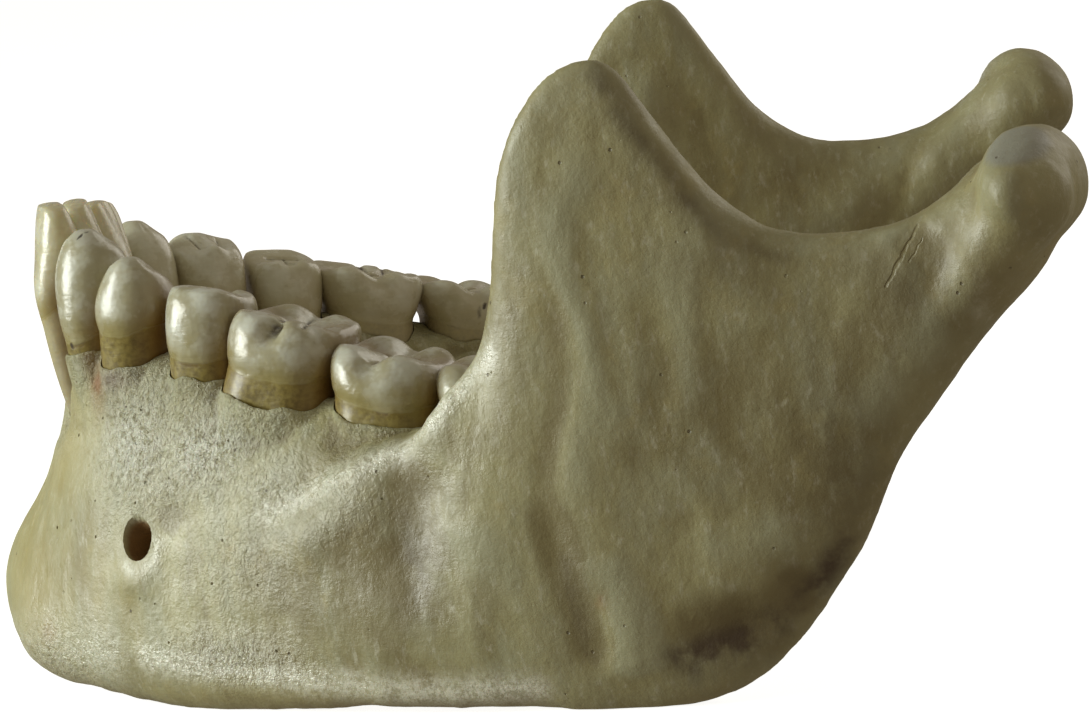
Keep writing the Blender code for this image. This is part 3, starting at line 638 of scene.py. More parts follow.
# The teeth. Each kind has its width along the row and its depth across it, the height of the
# crown, the length of the root, the squareness of its section (1 is an oval), the rings of its
# wall (a share of the way up to the rim, shares of width and depth, and a shift inward), the
# ridges of its top (two points in shares of half the width and half the depth, each with its
# height against the crown's), how steeply they fall, how round they are, what wear took off, and
# how much narrower the root is at its end.
# Creases are lines of the top in the same shares, with half width and depth in millimetres.
# Dents run down the wall: direction (0 is back, 90 outward), spread, depth, and how far down.
toothKinds = {
    "incisor": {
        "width": 6.0, "depth": 6.2, "crown": 10.8, "root": 12.0, "square": 0.95,
        "wall": (
            (0.0, 0.72, 0.98, 0.0), (0.12, 0.78, 1.00, 0.0), (0.3, 0.87, 0.94, 0.0),
            (0.5, 0.96, 0.80, 0.1), (0.75, 1.0, 0.62, 0.15), (0.92, 0.93, 0.48, 0.2), (1.0, 0.80, 0.38, 0.2),
        ),
        "tops": (((-0.3, 0.0, 0.0), (0.15, 0.0, -0.1)),), "taper": 0.4,
        "steep": 0.7, "round": 1.0, "wear": 0.1, "creases": (), "dents": ((270, 26, 0.35, 0.55),),
        "rootDents": ((0, 24, 0.3), (180, 24, 0.3)), "curve": 1.3,
    },
    "canine": {
        "width": 7.0, "depth": 8.0, "crown": 10.6, "root": 12.0, "square": 0.92,
        "wall": (
            (0.0, 0.84, 0.96, 0.0), (0.15, 0.89, 1.00, 0.0), (0.35, 0.96, 0.98, 0.0),
            (0.58, 1.0, 0.92, 0.0), (0.78, 0.98, 0.80, 0.1), (0.93, 0.90, 0.64, 0.2), (1.0, 0.82, 0.54, 0.2),
        ),
        "tops": (
            ((0.0, 0.1, 0.0), (-0.7, 0.0, -1.7)), ((0.0, 0.1, 0.0), (0.75, 0.0, -2.5)),
            ((0.0, 0.1, -0.1), (0.0, -0.45, -1.9)),
        ),
        "steep": 1.0, "round": 0.8, "wear": 0.35, "creases": (), "dents": (), "taper": 0.4,
        "rootDents": ((0, 24, 0.3), (180, 24, 0.3)), "curve": 1.2,
    },
    "first_premolar": {
        "width": 7.5, "depth": 7.9, "crown": 7.4, "root": 11.0, "square": 0.88,
        "wall": (
            (0.0, 0.93, 0.95, 0.0), (0.2, 0.99, 1.00, 0.0), (0.45, 1.0, 0.96, 0.0),
            (0.72, 0.89, 0.86, 0.1), (0.9, 0.76, 0.75, 0.2), (1.0, 0.66, 0.67, 0.25),
        ),
        "tops": (
            ((0.0, 0.3, 0.0), (-0.62, 0.22, -2.5)), ((0.0, 0.3, 0.0), (0.64, 0.22, -2.4)),
            ((0.0, 0.3, 0.0), (0.04, -0.4, -2.5)), ((0.05, -0.6, -3.0), (0.05, -0.45, -3.0)),
            ((-0.66, 0.2, -1.8), (-0.4, -0.5, -3.1)), ((0.68, 0.2, -2.0), (0.45, -0.5, -3.2)),
        ),
        "steep": 0.9, "round": 0.5, "wear": 0.3,
        "creases": (((-0.42, 0.05), (-0.3, -0.4), 0.2, 0.3), ((0.42, 0.05), (0.32, -0.4), 0.2, 0.3)),
        "dents": (), "rootDents": ((0, 26, 0.25), (180, 26, 0.25)), "curve": 0.9, "taper": 0.45,
    },
    "second_premolar": {
        "width": 7.6, "depth": 8.7, "crown": 7.0, "root": 11.0, "square": 0.78,
        "wall": (
            (0.0, 0.97, 0.95, 0.0), (0.2, 0.99, 0.99, 0.0), (0.5, 1.0, 1.0, 0.0),
            (0.78, 0.99, 0.94, 0.1), (0.93, 0.95, 0.86, 0.2), (1.0, 0.90, 0.79, 0.2),
        ),
        "tops": (
            ((-0.42, 0.46, -0.1), (0.34, 0.46, -0.2)), ((-0.35, -0.5, -1.3), (-0.2, -0.2, -1.7)),
            ((0.38, -0.5, -1.2), (0.2, -0.2, -1.7)), ((-0.62, 0.4, -0.9), (-0.62, -0.45, -1.5)),
            ((0.64, 0.4, -0.9), (0.64, -0.45, -1.5)), ((0.0, 0.42, -0.1), (0.0, 0.1, -1.0)),
        ),
        "steep": 0.55, "round": 0.5, "wear": 0.4, "taper": 0.45,
        "creases": (((-0.45, -0.05), (0.45, -0.08), 0.2, 0.35), ((0.02, -0.05), (0.05, -0.6), 0.2, 0.3)),
        "dents": (), "rootDents": ((0, 26, 0.3), (180, 26, 0.3)), "curve": 0.6,
    },
    "first_molar": {
        "width": 11.2, "depth": 11.1, "crown": 5.8, "root": 10.0, "square": 0.74,
        "wall": (
            (0.0, 0.96, 0.92, 0.0), (0.2, 0.98, 0.98, 0.0), (0.5, 1.0, 1.0, 0.0),
            (0.78, 0.99, 0.96, 0.1), (0.93, 0.95, 0.90, 0.2), (1.0, 0.91, 0.84, 0.2),
        ),
        "tops": (
            ((-0.60, 0.56, -0.1), (-0.30, 0.2, -1.1)), ((0.25, 0.57, -0.2), (0.14, 0.2, -1.1)),
            ((0.24, 0.58, -0.3), (0.5, 0.5, -0.6)),
            ((0.66, 0.34, -0.9), (0.46, 0.14, -1.5)), ((-0.46, -0.56, -0.5), (-0.24, -0.22, -1.4)),
            ((0.40, -0.56, -0.6), (0.22, -0.2, -1.5)), ((-0.76, 0.4, -1.0), (-0.74, -0.42, -1.2)),
            ((0.8, 0.1, -0.9), (0.72, -0.42, -0.7)), ((-0.56, 0.56, -0.15), (-0.24, 0.56, -0.15)),
        ),
        "steep": 0.5, "round": 0.6, "wear": 0.5, "taper": 0.3, "flare": 0.07,
        "creases": (
            ((-0.62, 0.02), (-0.2, -0.04), 0.24, 0.5), ((-0.2, -0.04), (0.18, 0.04), 0.24, 0.5),
            ((0.18, 0.04), (0.6, -0.04), 0.24, 0.5), ((0.0, 0.0), (0.01, 0.9), 0.32, 0.8),
            ((0.36, 0.04), (0.48, 0.7), 0.24, 0.4), ((-0.02, 0.0), (-0.04, -0.86), 0.26, 0.45),
        ),
        "dents": ((90, 4.5, 2.0, 0.40), (42, 9, 0.3, 0.5), (272, 8, 0.4, 0.6)),
        "rootDents": ((88, 13, 0.6), (270, 13, 0.9)), "curve": 1.0,
    },
    "second_molar": {
        "width": 10.9, "depth": 10.9, "crown": 5.1, "root": 10.0, "square": 0.76,
        "wall": (
            (0.0, 0.96, 0.93, 0.0), (0.2, 0.98, 0.98, 0.0), (0.5, 1.0, 1.0, 0.0),
            (0.78, 0.99, 0.95, 0.1), (0.93, 0.94, 0.87, 0.2), (1.0, 0.90, 0.81, 0.2),
        ),
        "tops": (
            ((-0.56, 0.54, -0.1), (-0.24, 0.2, -1.1)), ((0.40, 0.52, -0.3), (0.22, 0.2, -1.1)),
            ((-0.48, -0.56, -0.3), (-0.22, -0.2, -1.3)), ((0.46, -0.54, -0.5), (0.22, -0.2, -1.3)),
            ((-0.76, 0.4, -0.9), (-0.74, -0.42, -1.1)), ((0.76, 0.36, -1.0), (0.74, -0.42, -1.2)),
        ),
        "steep": 0.5, "round": 0.6, "wear": 0.4, "taper": 0.3,
        "creases": (
            ((-0.6, 0.0), (0.0, 0.03), 0.24, 0.5), ((0.0, 0.03), (0.6, -0.03), 0.24, 0.5),
            ((-0.02, 0.0), (-0.04, 0.84), 0.26, 0.45), ((0.0, 0.0), (0.0, -0.84), 0.26, 0.45),
        ),
        "dents": ((92, 8, 0.45, 0.55), (270, 8, 0.35, 0.6)),
        "rootDents": ((90, 13, 0.5), (270, 13, 0.7)), "curve": 0.7,
    },
    "third_molar": {
        "width": 10.0, "depth": 9.6, "crown": 5.0, "root": 7.5, "square": 0.84,
        "wall": (
            (0.0, 0.91, 0.90, 0.0), (0.2, 0.96, 0.98, 0.0), (0.5, 1.0, 1.0, 0.0),
            (0.78, 0.98, 0.93, 0.1), (0.93, 0.92, 0.84, 0.2), (1.0, 0.85, 0.77, 0.2),
        ),
        "tops": (
            ((-0.42, 0.46, -0.2), (-0.2, 0.16, -1.1)), ((0.44, 0.42, -0.4), (0.2, 0.16, -1.1)),
            ((-0.42, -0.5, 0.0), (-0.2, -0.2, -1.1)), ((0.4, -0.48, -0.3), (0.2, -0.2, -1.1)),
            ((-0.72, 0.34, -0.9), (-0.7, -0.38, -0.8)), ((0.72, 0.3, -1.0), (0.7, -0.36, -1.0)),
        ),
        "steep": 0.5, "round": 0.55, "wear": 0.3, "taper": 0.35,
        "creases": (
            ((-0.5, 0.04), (0.0, -0.04), 0.22, 0.45), ((0.0, -0.04), (0.5, 0.05), 0.22, 0.45),
            ((-0.04, 0.0), (-0.1, 0.7), 0.24, 0.35), ((0.05, 0.0), (0.1, -0.7), 0.24, 0.35),
        ),
        "dents": ((94, 9, 0.3, 0.6),), "rootDents": ((90, 18, 0.6), (270, 18, 0.6)), "curve": 0.4,
    },
}
toothKinds["broad_premolar"] = {
    **toothKinds["first_premolar"],
    "wall": (
        (0.0, 0.93, 0.95, 0.0), (0.2, 0.98, 1.00, 0.0), (0.5, 1.0, 0.98, 0.0),
        (0.78, 0.98, 0.90, 0.1), (0.92, 0.93, 0.80, 0.2), (1.0, 0.87, 0.72, 0.25),
    ),
    "tops": (
        ((-0.25, 0.3, 0.0), (-0.75, 0.25, -1.8)), ((-0.25, 0.3, 0.0), (0.8, 0.25, -1.2)),
        ((-0.1, 0.3, 0.0), (0.0, -0.45, -1.7)), ((0.0, -0.62, -1.5), (0.1, -0.45, -1.6)),
        ((-0.7, 0.2, -1.6), (-0.45, -0.5, -2.2)), ((0.78, 0.2, -1.3), (0.55, -0.5, -1.9)),
    ),
    "steep": 0.75,
}
# Left row: kind, where the crown meets the root, the way the tooth faces, how far the top of
# the crown leans outward and backward, and its fall for each millimetre further back.
leftTeeth = (
    ("incisor", (13.0, -2.9, 37.2), 8, 0.8, 0.0, 0.0),
    ("incisor", (11.7, -8.2, 37.5), 20, 0.9, 0.0, 0.0),
    ("canine", (15.5, -13.3, 35.5), 44, 0.6, 0.2, 0.05),
    ("first_premolar", (19.8, -17.6, 36.1), 57, 0.4, 1.2, 0.08),
    ("second_premolar", (27.4, -21.7, 33.4), 62, 0.0, 0.7, 0.12),
    ("first_molar", (35.2, -25.7, 31.7), 66, -0.5, 1.4, 0.24),
    ("second_molar", (45.3, -29.9, 28.4), 68, -0.8, 0.2, 0.22),
    ("third_molar", (55.0, -33.4, 26.1), 70, -1.1, -0.6, 0.18),
)
# The right row is the left one mirrored: a small move, a size, a pinch of the neck, a lean back.
rightShifts = (
    ((0.8, -0.1, -0.6), 0.98, 0.0, 0.0),
    ((1.3, 0.2, -1.6), 1.00, 0.0, 0.0),
    ((-0.1, 0.0, -1.6), 0.96, 0.0, 0.0),
    ((1.3, -0.1, -1.9), 1.02, 0.0, -0.9),
    ((0.8, 0.0, -1.5), 1.00, 0.06, -0.3),
    ((0.8, -0.1, -1.3), 1.00, 0.14, -0.8),
    ((0.6, 0.0, -0.3), 0.98, 0.12, -0.2),
    ((0.0, 0.0, 0.0), 0.98, 0.05, 0.0),
)
bareRoots = (3.0, 8.0, 1.3, 3.2, 1.6, 2.4, 1.5, 1.5)    # how far below its neck each root is bare
toothGrain = {
    "around": 72, "wallRows": 20, "topRows": 20, "rootRows": 9,
    "enamelStep": 0.12,         # how far the enamel stands out from the root
    "liftSpread": 0.06,         # how much the heights of the crowns differ
    "pinched": 0.75,            # a pinch reaches this far up the crown
    "rimFade": 0.7,             # dents fade out from the rim to this share of the top
    "darkDent": 2.0, "darkCrease": 0.45,        # the depths that are darkest
    "seed": 16,
}
sockets = {
    "gap": 0.12,                # between a root and the bone
    "depth": 0.3,               # how far below the root's end the socket goes
    "above": 6.0,               # the cutter reaches this far above the neck
    "cover": 0.30,              # the thinnest bone over a root
    "coverReach": 1.2,          # how far that wall goes on past the root's sides
    "coverFade": 2.2,           # and over what breadth it fades
    "bulge": 0.30,              # over a root, on the outer side
    "bulgeLength": 9.0, "canineBulge": 1.5, "innerBulge": 0.6,
    "rootSpread": 1.2,          # how far outward a root's end stands
    "scallop": 0.25,            # how far the rim dips before a root
    "septum": 0.35,             # and rises between two
    "crumble": 0.5, "crumbleSize": 6.0,
    "ragged": 0.015,            # how unevenly the gap opens
    "around": 48, "rings": 22,
}


def toothAxes(facing):
    out = np.array([-math.cos(math.radians(facing)), -math.sin(math.radians(facing)), 0.0])
    return out, np.array([-out[1], out[0], 0.0])


def topHeight(kind, x, y, lift):    # the height of the chewing surface, in millimetres
    halfWidth, halfDepth = kind["width"] / 2, kind["depth"] / 2
    where = np.stack([x, y], axis=1)
    sharp = 7.0                     # how crisply two ridges meet
    total = np.zeros(len(x))
    for (x0, y0, h0), (x1, y1, h1) in kind["tops"]:
        line = ((x0 * halfWidth, y0 * halfDepth), (x1 * halfWidth, y1 * halfDepth))
        away, along = lineDistance(where, line)
        height = h0 + (h1 - h0) * along + lift
        r = kind["round"]
        total += np.exp(sharp * (height - kind["steep"] * (np.sqrt(away**2 + r**2) - r)))
    height = kind["crown"] + np.log(total) / sharp
    worn = kind["crown"] - kind["wear"]
    return -np.logaddexp(-sharp * height, -sharp * worn) / sharp


def creaseDepth(kind, x, y):
    halfWidth, halfDepth = kind["width"] / 2, kind["depth"] / 2
    where = np.stack([x, y], axis=1)
    deepest = np.zeros(len(x))
    for first, last, halfLine, depth in kind["creases"]:
        line = np.array((first, last)) * np.array([halfWidth, halfDepth])
        away, _ = lineDistance(where, line)
        deepest = np.maximum(deepest, depth * np.exp(-((away / halfLine) ** 2)))
    return deepest


def dentsOf(dents, direction):
    for middle, spread, depth, *reach in dents:
        away = (direction - middle + 180) % 360 - 180
        yield depth * np.exp(-((away / spread) ** 2)), (reach[0] if reach else 1.0)


def sectionSides(kind, around):     # directions round a section, and its shares of half the width and depth
    angle = 2 * math.pi * (np.arange(around) + 0.5) / around
    sides = (np.sign(side) * np.abs(side) ** kind["square"] for side in (np.cos(angle), np.sin(angle)))
    return angle, *sides


def standing(kind, x, y, z, posture, scale):    # a ring of a tooth, set the way that the tooth stands
    facing, leanOut, leanBack, drop = posture
    out, back = toothAxes(facing)
    points = np.outer(x * scale, back) + np.outer(y * scale, out)
    points += np.outer(z / kind["crown"], leanOut * out + leanBack * back)
    points[:, 2] += z * scale - drop * (points @ back)
    return points


def tooth(kindName, neck, posture, form, draw):
    # One tooth of the left row. Returns its shape, its height above the neck's curve, its creases,
    # and how far it faces the teeth beside it.
    kind, grain = toothKinds[kindName], toothGrain
    scale, pinch = form
    angle, u, v = sectionSides(kind, grain["around"])
    direction = np.degrees(angle)
    wall = np.array(kind["wall"])
    neckCurve = kind["curve"] * (np.cos(angle) ** 2 - 0.5)
    lift = draw.normal(0, grain["liftSpread"])
    pinchTop = grain["pinched"] * kind["crown"]
    rings, heights, creases = [], [], []

    def ring(wide, deep, inward, z, crease=0.0, push=0.0):
        wide = wide * (1 - pinch * smoothStep(pinchTop - np.mean(z), 0, pinchTop))
        x = u * kind["width"] / 2 * wide
        y = v * kind["depth"] / 2 * deep - inward
        away = np.stack([x, y], axis=1)
        away /= np.linalg.norm(away, axis=1)[:, None] + 1e-9
        x, y = x + away[:, 0] * push, y + away[:, 1] * push
        rings.append(standing(kind, x, y, z, posture, scale))
        heights.append(z - neckCurve)
        creases.append(np.broadcast_to(crease, angle.shape))

    furrows = list(dentsOf(kind["rootDents"], direction))
    for t in np.arange(grain["rootRows"]) / grain["rootRows"]:      # root, from its end up
        z = -kind["root"] * (1 - t)
        taper = rootShare(kind, z)
        furrow = sum(depth for depth, _ in furrows) * smoothStep(-z, 0.8, 5.0)
        ring(wall[0, 1] * taper, wall[0, 2] * taper, 0.0, np.full(grain["around"], z), 0.0, -furrow)
    rimX = u * kind["width"] / 2 * wall[-1, 1]
    rimY = v * kind["depth"] / 2 * wall[-1, 2]
    furrows = list(dentsOf(kind["dents"], direction))
    deepest = sum(depth for depth, _ in furrows) + np.zeros(len(u))
    notch = 0.5 * deepest
    rim = topHeight(kind, rimX, rimY, lift) - notch
    for share in np.linspace(0, 1, grain["wallRows"]):              # wall of the crown
        wide, deep, inward = (smoothTable(wall[:, 0], wall[:, column], share) for column in (1, 2, 3))
        z = share * rim
        dent = sum(depth * smoothStep(share, 1 - reach, 1) for depth, reach in furrows) + np.zeros(len(u))
        enamel = grain["enamelStep"] * smoothStep(z - neckCurve, 0.0, 0.5)
        ring(wide, deep, inward, z, dent / grain["darkDent"], enamel - dent)
    for share in np.linspace(1, 0, grain["topRows"] + 1)[1:]:       # chewing surface
        share = max(share, 0.004)
        x, y = rimX * share, rimY * share
        crease = creaseDepth(kind, x, y)
        nearRim = smoothStep(share, grain["rimFade"], 1)
        z = topHeight(kind, x, y, lift) - crease * smoothStep(1 - share, 0, 0.12) - notch * nearRim
        wide, deep, inward = wall[-1, 1] * share, wall[-1, 2] * share, wall[-1, 3]
        dent = deepest * nearRim
        dark = np.maximum(crease / grain["darkCrease"], dent / grain["darkDent"])
        ring(wide, deep, inward, z, dark, grain["enamelStep"] * smoothStep(share, 0.6, 1) - dent)
    points = np.concatenate(rings) + np.array(neck)
    faces = tubeFaces(len(rings), grain["around"])
    between = np.tile(np.abs(np.cos(angle)) ** 3, len(rings))       # 1 on the sides that face other teeth
    return (points, faces), np.concatenate(heights), np.concatenate(creases), between


def smoothTable(places, values, at):    # a smooth curve through a table's values
    slopes = np.gradient(values, places)
    i = int(np.clip(np.searchsorted(places, at) - 1, 0, len(places) - 2))
    span = places[i + 1] - places[i]
    t = (at - places[i]) / span
    return (
        (2 * t**3 - 3 * t**2 + 1) * values[i] + (t**3 - 2 * t**2 + t) * span * slopes[i]
        + (3 * t**2 - 2 * t**3) * values[i + 1] + (t**3 - t**2) * span * slopes[i + 1]
    )


def rootShare(kind, z):     # the root's breadth, z below the neck, against the neck's
    deep = np.clip(-z / kind["root"], 0, 1)
    return 1 - kind["taper"] * deep ** 2.2 + kind.get("flare", 0.0) * smoothStep(-z, 0.0, 4.0)


def rootCutter(kindName, neck, posture, form):      # a socket's hollow
    kind, around = toothKinds[kindName], sockets["around"]
    scale, pinch = form
    angle, u, v = sectionSides(kind, around)
    uneven = np.sin(3 * angle + neck[0]) + np.sin(7 * angle + 2 * neck[0])
    gap = sockets["gap"] + sockets["ragged"] * uneven
    rings = []
    for z in np.linspace(-kind["root"] - sockets["depth"], sockets["above"], sockets["rings"]):
        taper = rootShare(kind, z)
        x = u * (kind["width"] / 2 * kind["wall"][0][1] * taper * (1 - pinch) + gap)
        y = v * (kind["depth"] / 2 * kind["wall"][0][2] * taper + gap)
        rings.append(standing(kind, x, y, np.full(around, z), posture, scale))
    return np.concatenate(rings) + np.array(neck), tubeFaces(len(rings), around)


def toothRows():    # every tooth: name, kind, neck, posture, size and pinch, and whether it is mirrored
    for number, (left, (shift, scale, pinch, lean)) in enumerate(zip(leftTeeth, rightShifts)):
        kind, neck, facing, leanOut, leanBack, drop = left
        label = f"{number + 1}_{kind}"
        posture = (facing, leanOut, leanBack, drop)
        yield f"tooth_left_{label}", kind, neck, posture, (1.0, 0.0), False
        if kind == "first_premolar":
            kind = "broad_premolar"
        neck = tuple(np.array(neck) + np.array(shift))
        posture = (facing, leanOut, leanBack + lean, drop)
        yield f"tooth_right_{label}", kind, neck, posture, (scale, pinch), True


def makeTeeth(materials):
    draw = np.random.default_rng(toothGrain["seed"])
    made = []
    for name, kind, neck, posture, form, mirror in toothRows():
        shape, heights, creases, between = tooth(kind, neck, posture, form, draw)
        if mirror:
            shape = mirrored(shape)
        obj = turnedOut(objectFrom(name, place(shape[0]), shape[1]))
        smooth = obj.modifiers.new("smooth", "SMOOTH")
        smooth.factor = 0.5
        smooth.iterations = 2
        applied(obj)
        giveAttribute(obj.data, "aboveNeck", heights)
        giveAttribute(obj.data, "crease", np.clip(creases, 0, 1))
        giveAttribute(obj.data, "between", between)
        giveAttribute(obj.data, "toothTone", np.full(len(heights), draw.uniform()))
        obj.data.materials.clear()
        obj.data.materials.append(materials["thin_tooth" if kind == "incisor" else "tooth"])
        obj.data.shade_smooth()
        made.append(obj)
    print("teeth made:", len(made))
    return made


# Holes through the surface: a bent line of points, the radius at each, on both sides.
holes = (
    (((17.4, -26.4, 18.0), (18.4, -24.6, 16.4), (20.0, -22.4, 14.6), (22.6, -19.6, 12.6)),
     (2.5, 1.9, 1.4, 0.9)),
    (((82.0, -43.4, 29.0), (79.4, -45.2, 26.6), (77.0, -47.0, 24.0), (74.6, -47.6, 20.5)),
     (2.0, 1.7, 1.3, 0.9)),
)
midHoles = (
    (((20.0, 0.0, 13.6), (16.0, 0.0, 13.0), (12.5, 0.0, 12.0)), (0.55, 0.45, 0.35)),
)


def bentHole(line, radii, around=20):
    line = np.array(line, float)
    tangents = np.gradient(line, axis=0)
    rings = []
    for point, tangent, radius in zip(line, tangents, radii):
        turn = Vector(tangent).to_track_quat("Z", "Y").to_matrix()
        angle = 2 * math.pi * np.arange(around) / around
        flat = np.stack([np.cos(angle), np.sin(angle), np.zeros(around)], axis=1) * radius
        rings.append(point + flat @ np.array(turn).T)
    return np.concatenate(rings), tubeFaces(len(rings), around)


# Pores and relief of the surface, by geometry nodes
pores = {
    "density": 70000.0,         # of tries for each square metre where the bone is most porous
    "spacing": 0.9 * mm,        # the least distance between two pores
    "smallest": 0.07 * mm, "largest": 0.19 * mm,
    "ballFaces": 80,            # of the ball that cuts a pore
    "seed": 7,
}
relief = {
    "lumpSize": 6.0, "lumpHeight": 0.24,
    "rippleSize": 2.4, "rippleHeight": 0.11,
    "upright": 0.42,            # both are drawn out along the height
    "grainSize": 0.9, "grainHeight": 0.16,
}


def reliefTree():
    tree, given, output = newGeometryTree("boneRelief", (
        ("Lump size", "NodeSocketFloat", relief["lumpSize"] * mm),
        ("Lump height", "NodeSocketFloat", relief["lumpHeight"] * mm),
        ("Ripple size", "NodeSocketFloat", relief["rippleSize"] * mm),
        ("Ripple height", "NodeSocketFloat", relief["rippleHeight"] * mm),
        ("Grain size", "NodeSocketFloat", relief["grainSize"] * mm),
        ("Grain height", "NodeSocketFloat", relief["grainHeight"] * mm),
    ))
    where = addNode(tree, "GeometryNodeInputPosition").outputs[0]
    drawn = vectors(tree, "MULTIPLY", {0: where, 1: (1.0, 1.0, relief["upright"])})
    normal = addNode(tree, "GeometryNodeInputNormal").outputs[0]
    rough = namedValue(tree, "rough")
    total = None
    for name, share in (("Lump", None), ("Ripple", None), ("Grain", rough)):
        scale = maths(tree, "DIVIDE", 1.0, given[f"{name} size"])
        inputs = {"Vector": where if share else drawn, "Scale": scale, "Detail": 2.0, "Roughness": 0.5}
        wave = addNode(tree, "ShaderNodeTexNoise", inputs).outputs[0]
        centred = maths(tree, "SUBTRACT", wave, 0.5)
        height = maths(tree, "MULTIPLY", centred, maths(tree, "MULTIPLY", given[f"{name} height"], 2.0))
        if share is not None:
            height = maths(tree, "MULTIPLY", height, share)
        total = height if total is None else maths(tree, "ADD", total, height)
    offset = vectors(tree, "SCALE", {0: normal, "Scale": total})
    moved = addNode(tree, "GeometryNodeSetPosition", {"Geometry": given["Geometry"], "Offset": offset})
    endTree(tree, moved.outputs[0], given["Material"], output)
    return tree


def poreTree():
    tree, given, output = newGeometryTree("bonePores", (
        ("Density", "NodeSocketFloat", pores["density"]),
        ("Spacing", "NodeSocketFloat", pores["spacing"]),
        ("Smallest radius", "NodeSocketFloat", pores["smallest"]),
        ("Largest radius", "NodeSocketFloat", pores["largest"]),
        ("Seed", "NodeSocketInt", pores["seed"]),
    ))
    porous = namedValue(tree, "porous")
    spread = addNode(tree, "GeometryNodeDistributePointsOnFaces", {
        "Mesh": given["Geometry"], "Distance Min": given["Spacing"], "Density Max": given["Density"],
        "Density Factor": porous, "Seed": given["Seed"],
    }, distribute_method="POISSON")
    ballNode = addNode(tree, "GeometryNodeMeshIcoSphere", {"Radius": 1.0, "Subdivisions": 2})
    size = addNode(tree, "FunctionNodeRandomValue", {
        2: given["Smallest radius"], 3: given["Largest radius"], "Seed": given["Seed"],
    }, data_type="FLOAT").outputs[1]
    placed = addNode(tree, "GeometryNodeInstanceOnPoints", {
        "Points": spread.outputs["Points"], "Instance": ballNode.outputs[0], "Scale": size,
    })
    endTree(tree, placed.outputs[0], given["Material"], output)
    return tree


# Places on the bone that differ: centre, reach and strength, in table millimetres.
patches = {
    # pale: paler, rougher bone round the sockets, partly a painted highlight where the lamp's gloss falls;
    # the low patches at the lower border and under the chin and the one on the far joint head are painted
    # highlights
    "pale": (
        ((19.0, -22.5, 25.0), (5.5, 6.0, 6.0), 1.0, "left"),
        ((26.5, -27.0, 24.5), (6.5, 6.0, 4.5), 1.0, "left"),
        ((22.0, -25.5, 21.5), (5.0, 6.0, 3.0), 0.7, "left"),
        ((33.0, -32.0, 21.5), (6.0, 6.0, 2.6), 0.7, "left"),
        ((36.5, -34.5, 18.0), (6.0, 6.0, 2.4), 0.35, "left"),
        ((27.0, -31.0, 5.6), (8.0, 6.0, 2.4), 0.7, "left"),
        ((24.0, -25.0, 27.0), (9.0, 9.0, 4.5), 0.8, "right"),
        ((33.0, -32.0, 21.5), (7.0, 6.0, 2.6), 0.5, "right"),
        ((10.0, 0.0, 26.0), (6.0, 10.0, 4.0), 0.4, "both"),
        ((8.0, -13.0, 4.5), (9.0, 10.0, 4.0), 0.4, "both"),
        ((30.0, -31.0, 15.0), (9.0, 6.0, 5.0), 0.4, "both"),
        ((40.0, -36.0, 20.0), (5.0, 6.0, 3.0), 0.4, "left"),
        ((101.5, -56.0, 46.0), (3.4, 6.0, 4.5), 1.0, "right"),
    ),
    "ochre": (
        ((6.0, -12.0, 12.0), (6.0, 9.0, 9.0), 0.9, "both"),
        ((10.0, -13.0, 24.0), (5.0, 6.0, 7.0), 0.9, "both"),
        ((14.0, -22.0, 13.0), (6.0, 5.0, 5.0), 0.5, "both"),
        ((30.0, -33.0, 1.5), (22.0, 9.0, 2.6), 0.6, "both"),
        ((57.5, -44.0, 46.0), (2.0, 3.0, 12.0), 0.7, "both"),
        ((104.0, -52.0, 38.0), (5.0, 5.0, 5.0), 0.4, "both"),
    ),
    "dark": (
        # dark: painted shade in hollows and grooves and on faces turned from the lamp
        ((77.5, -52.0, 7.0), (5.5, 8.0, 2.5), 0.5, "left"),
        ((83.5, -52.0, 10.6), (4.0, 8.0, 3.0), 0.4, "left"),
        ((62.0, -49.0, 9.0), (1.5, 8.0, 6.5), 0.35, "left"),
        ((77.5, -52.0, 8.0), (5.0, 8.0, 2.6), 0.5, "right"),
        ((87.0, -52.0, 21.0), (5.0, 8.0, 11.0), 0.42, "both"),
        ((71.0, -48.0, 54.5), (2.2, 8.0, 3.4), 0.2, "left"),
        ((81.0, -50.0, 39.6), (6.0, 8.0, 2.6), 0.16, "left"),
        ((46.8, -41.0, 15.0), (2.9, 8.0, 7.0), 0.58, "both"),
        ((95.5, -52.5, 36.5), (5.5, 6.0, 5.5), 0.5, "both"),
        ((57.0, -44.0, 44.0), (2.6, 6.0, 15.0), 0.32, "both"),
        ((40.0, -36.0, 12.0), (10.0, 8.0, 5.0), 0.16, "both"),
        ((8.0, -15.0, 13.0), (6.0, 9.0, 6.0), 0.14, "both"),
        ((14.9, -17.2, 33.4), (0.8, 1.4, 0.9), 0.6, "left"),
        ((106.4, -57.5, 41.5), (2.8, 6.0, 5.0), 0.12, "both"),
        ((59.2, -48.0, 34.0), (1.2, 8.0, 9.0), 0.3, "left"),
    ),
    "stain": (
        ((15.2, -17.8, 31.0), (0.9, 1.3, 2.8), 1.0, "left"),
        ((14.6, -16.6, 33.4), (0.8, 1.2, 1.6), 0.7, "left"),
        ((64.1, -49.0, 10.4), (0.5, 2.0, 0.5), 0.8, "left"),
        ((7.0, -16.0, 7.1), (0.9, 1.2, 0.9), 0.6, "left"),
    ),
    "bruise": (
        ((17.4, -19.4, 31.6), (1.8, 1.8, 1.1), 0.7, "left"),
    ),
    "cap": (                # the grey-blue facet of the joint heads
        ((105.0, -56.0, 49.2), (5.2, 6.5, 3.2), 1.0, "both"),
    ),
}
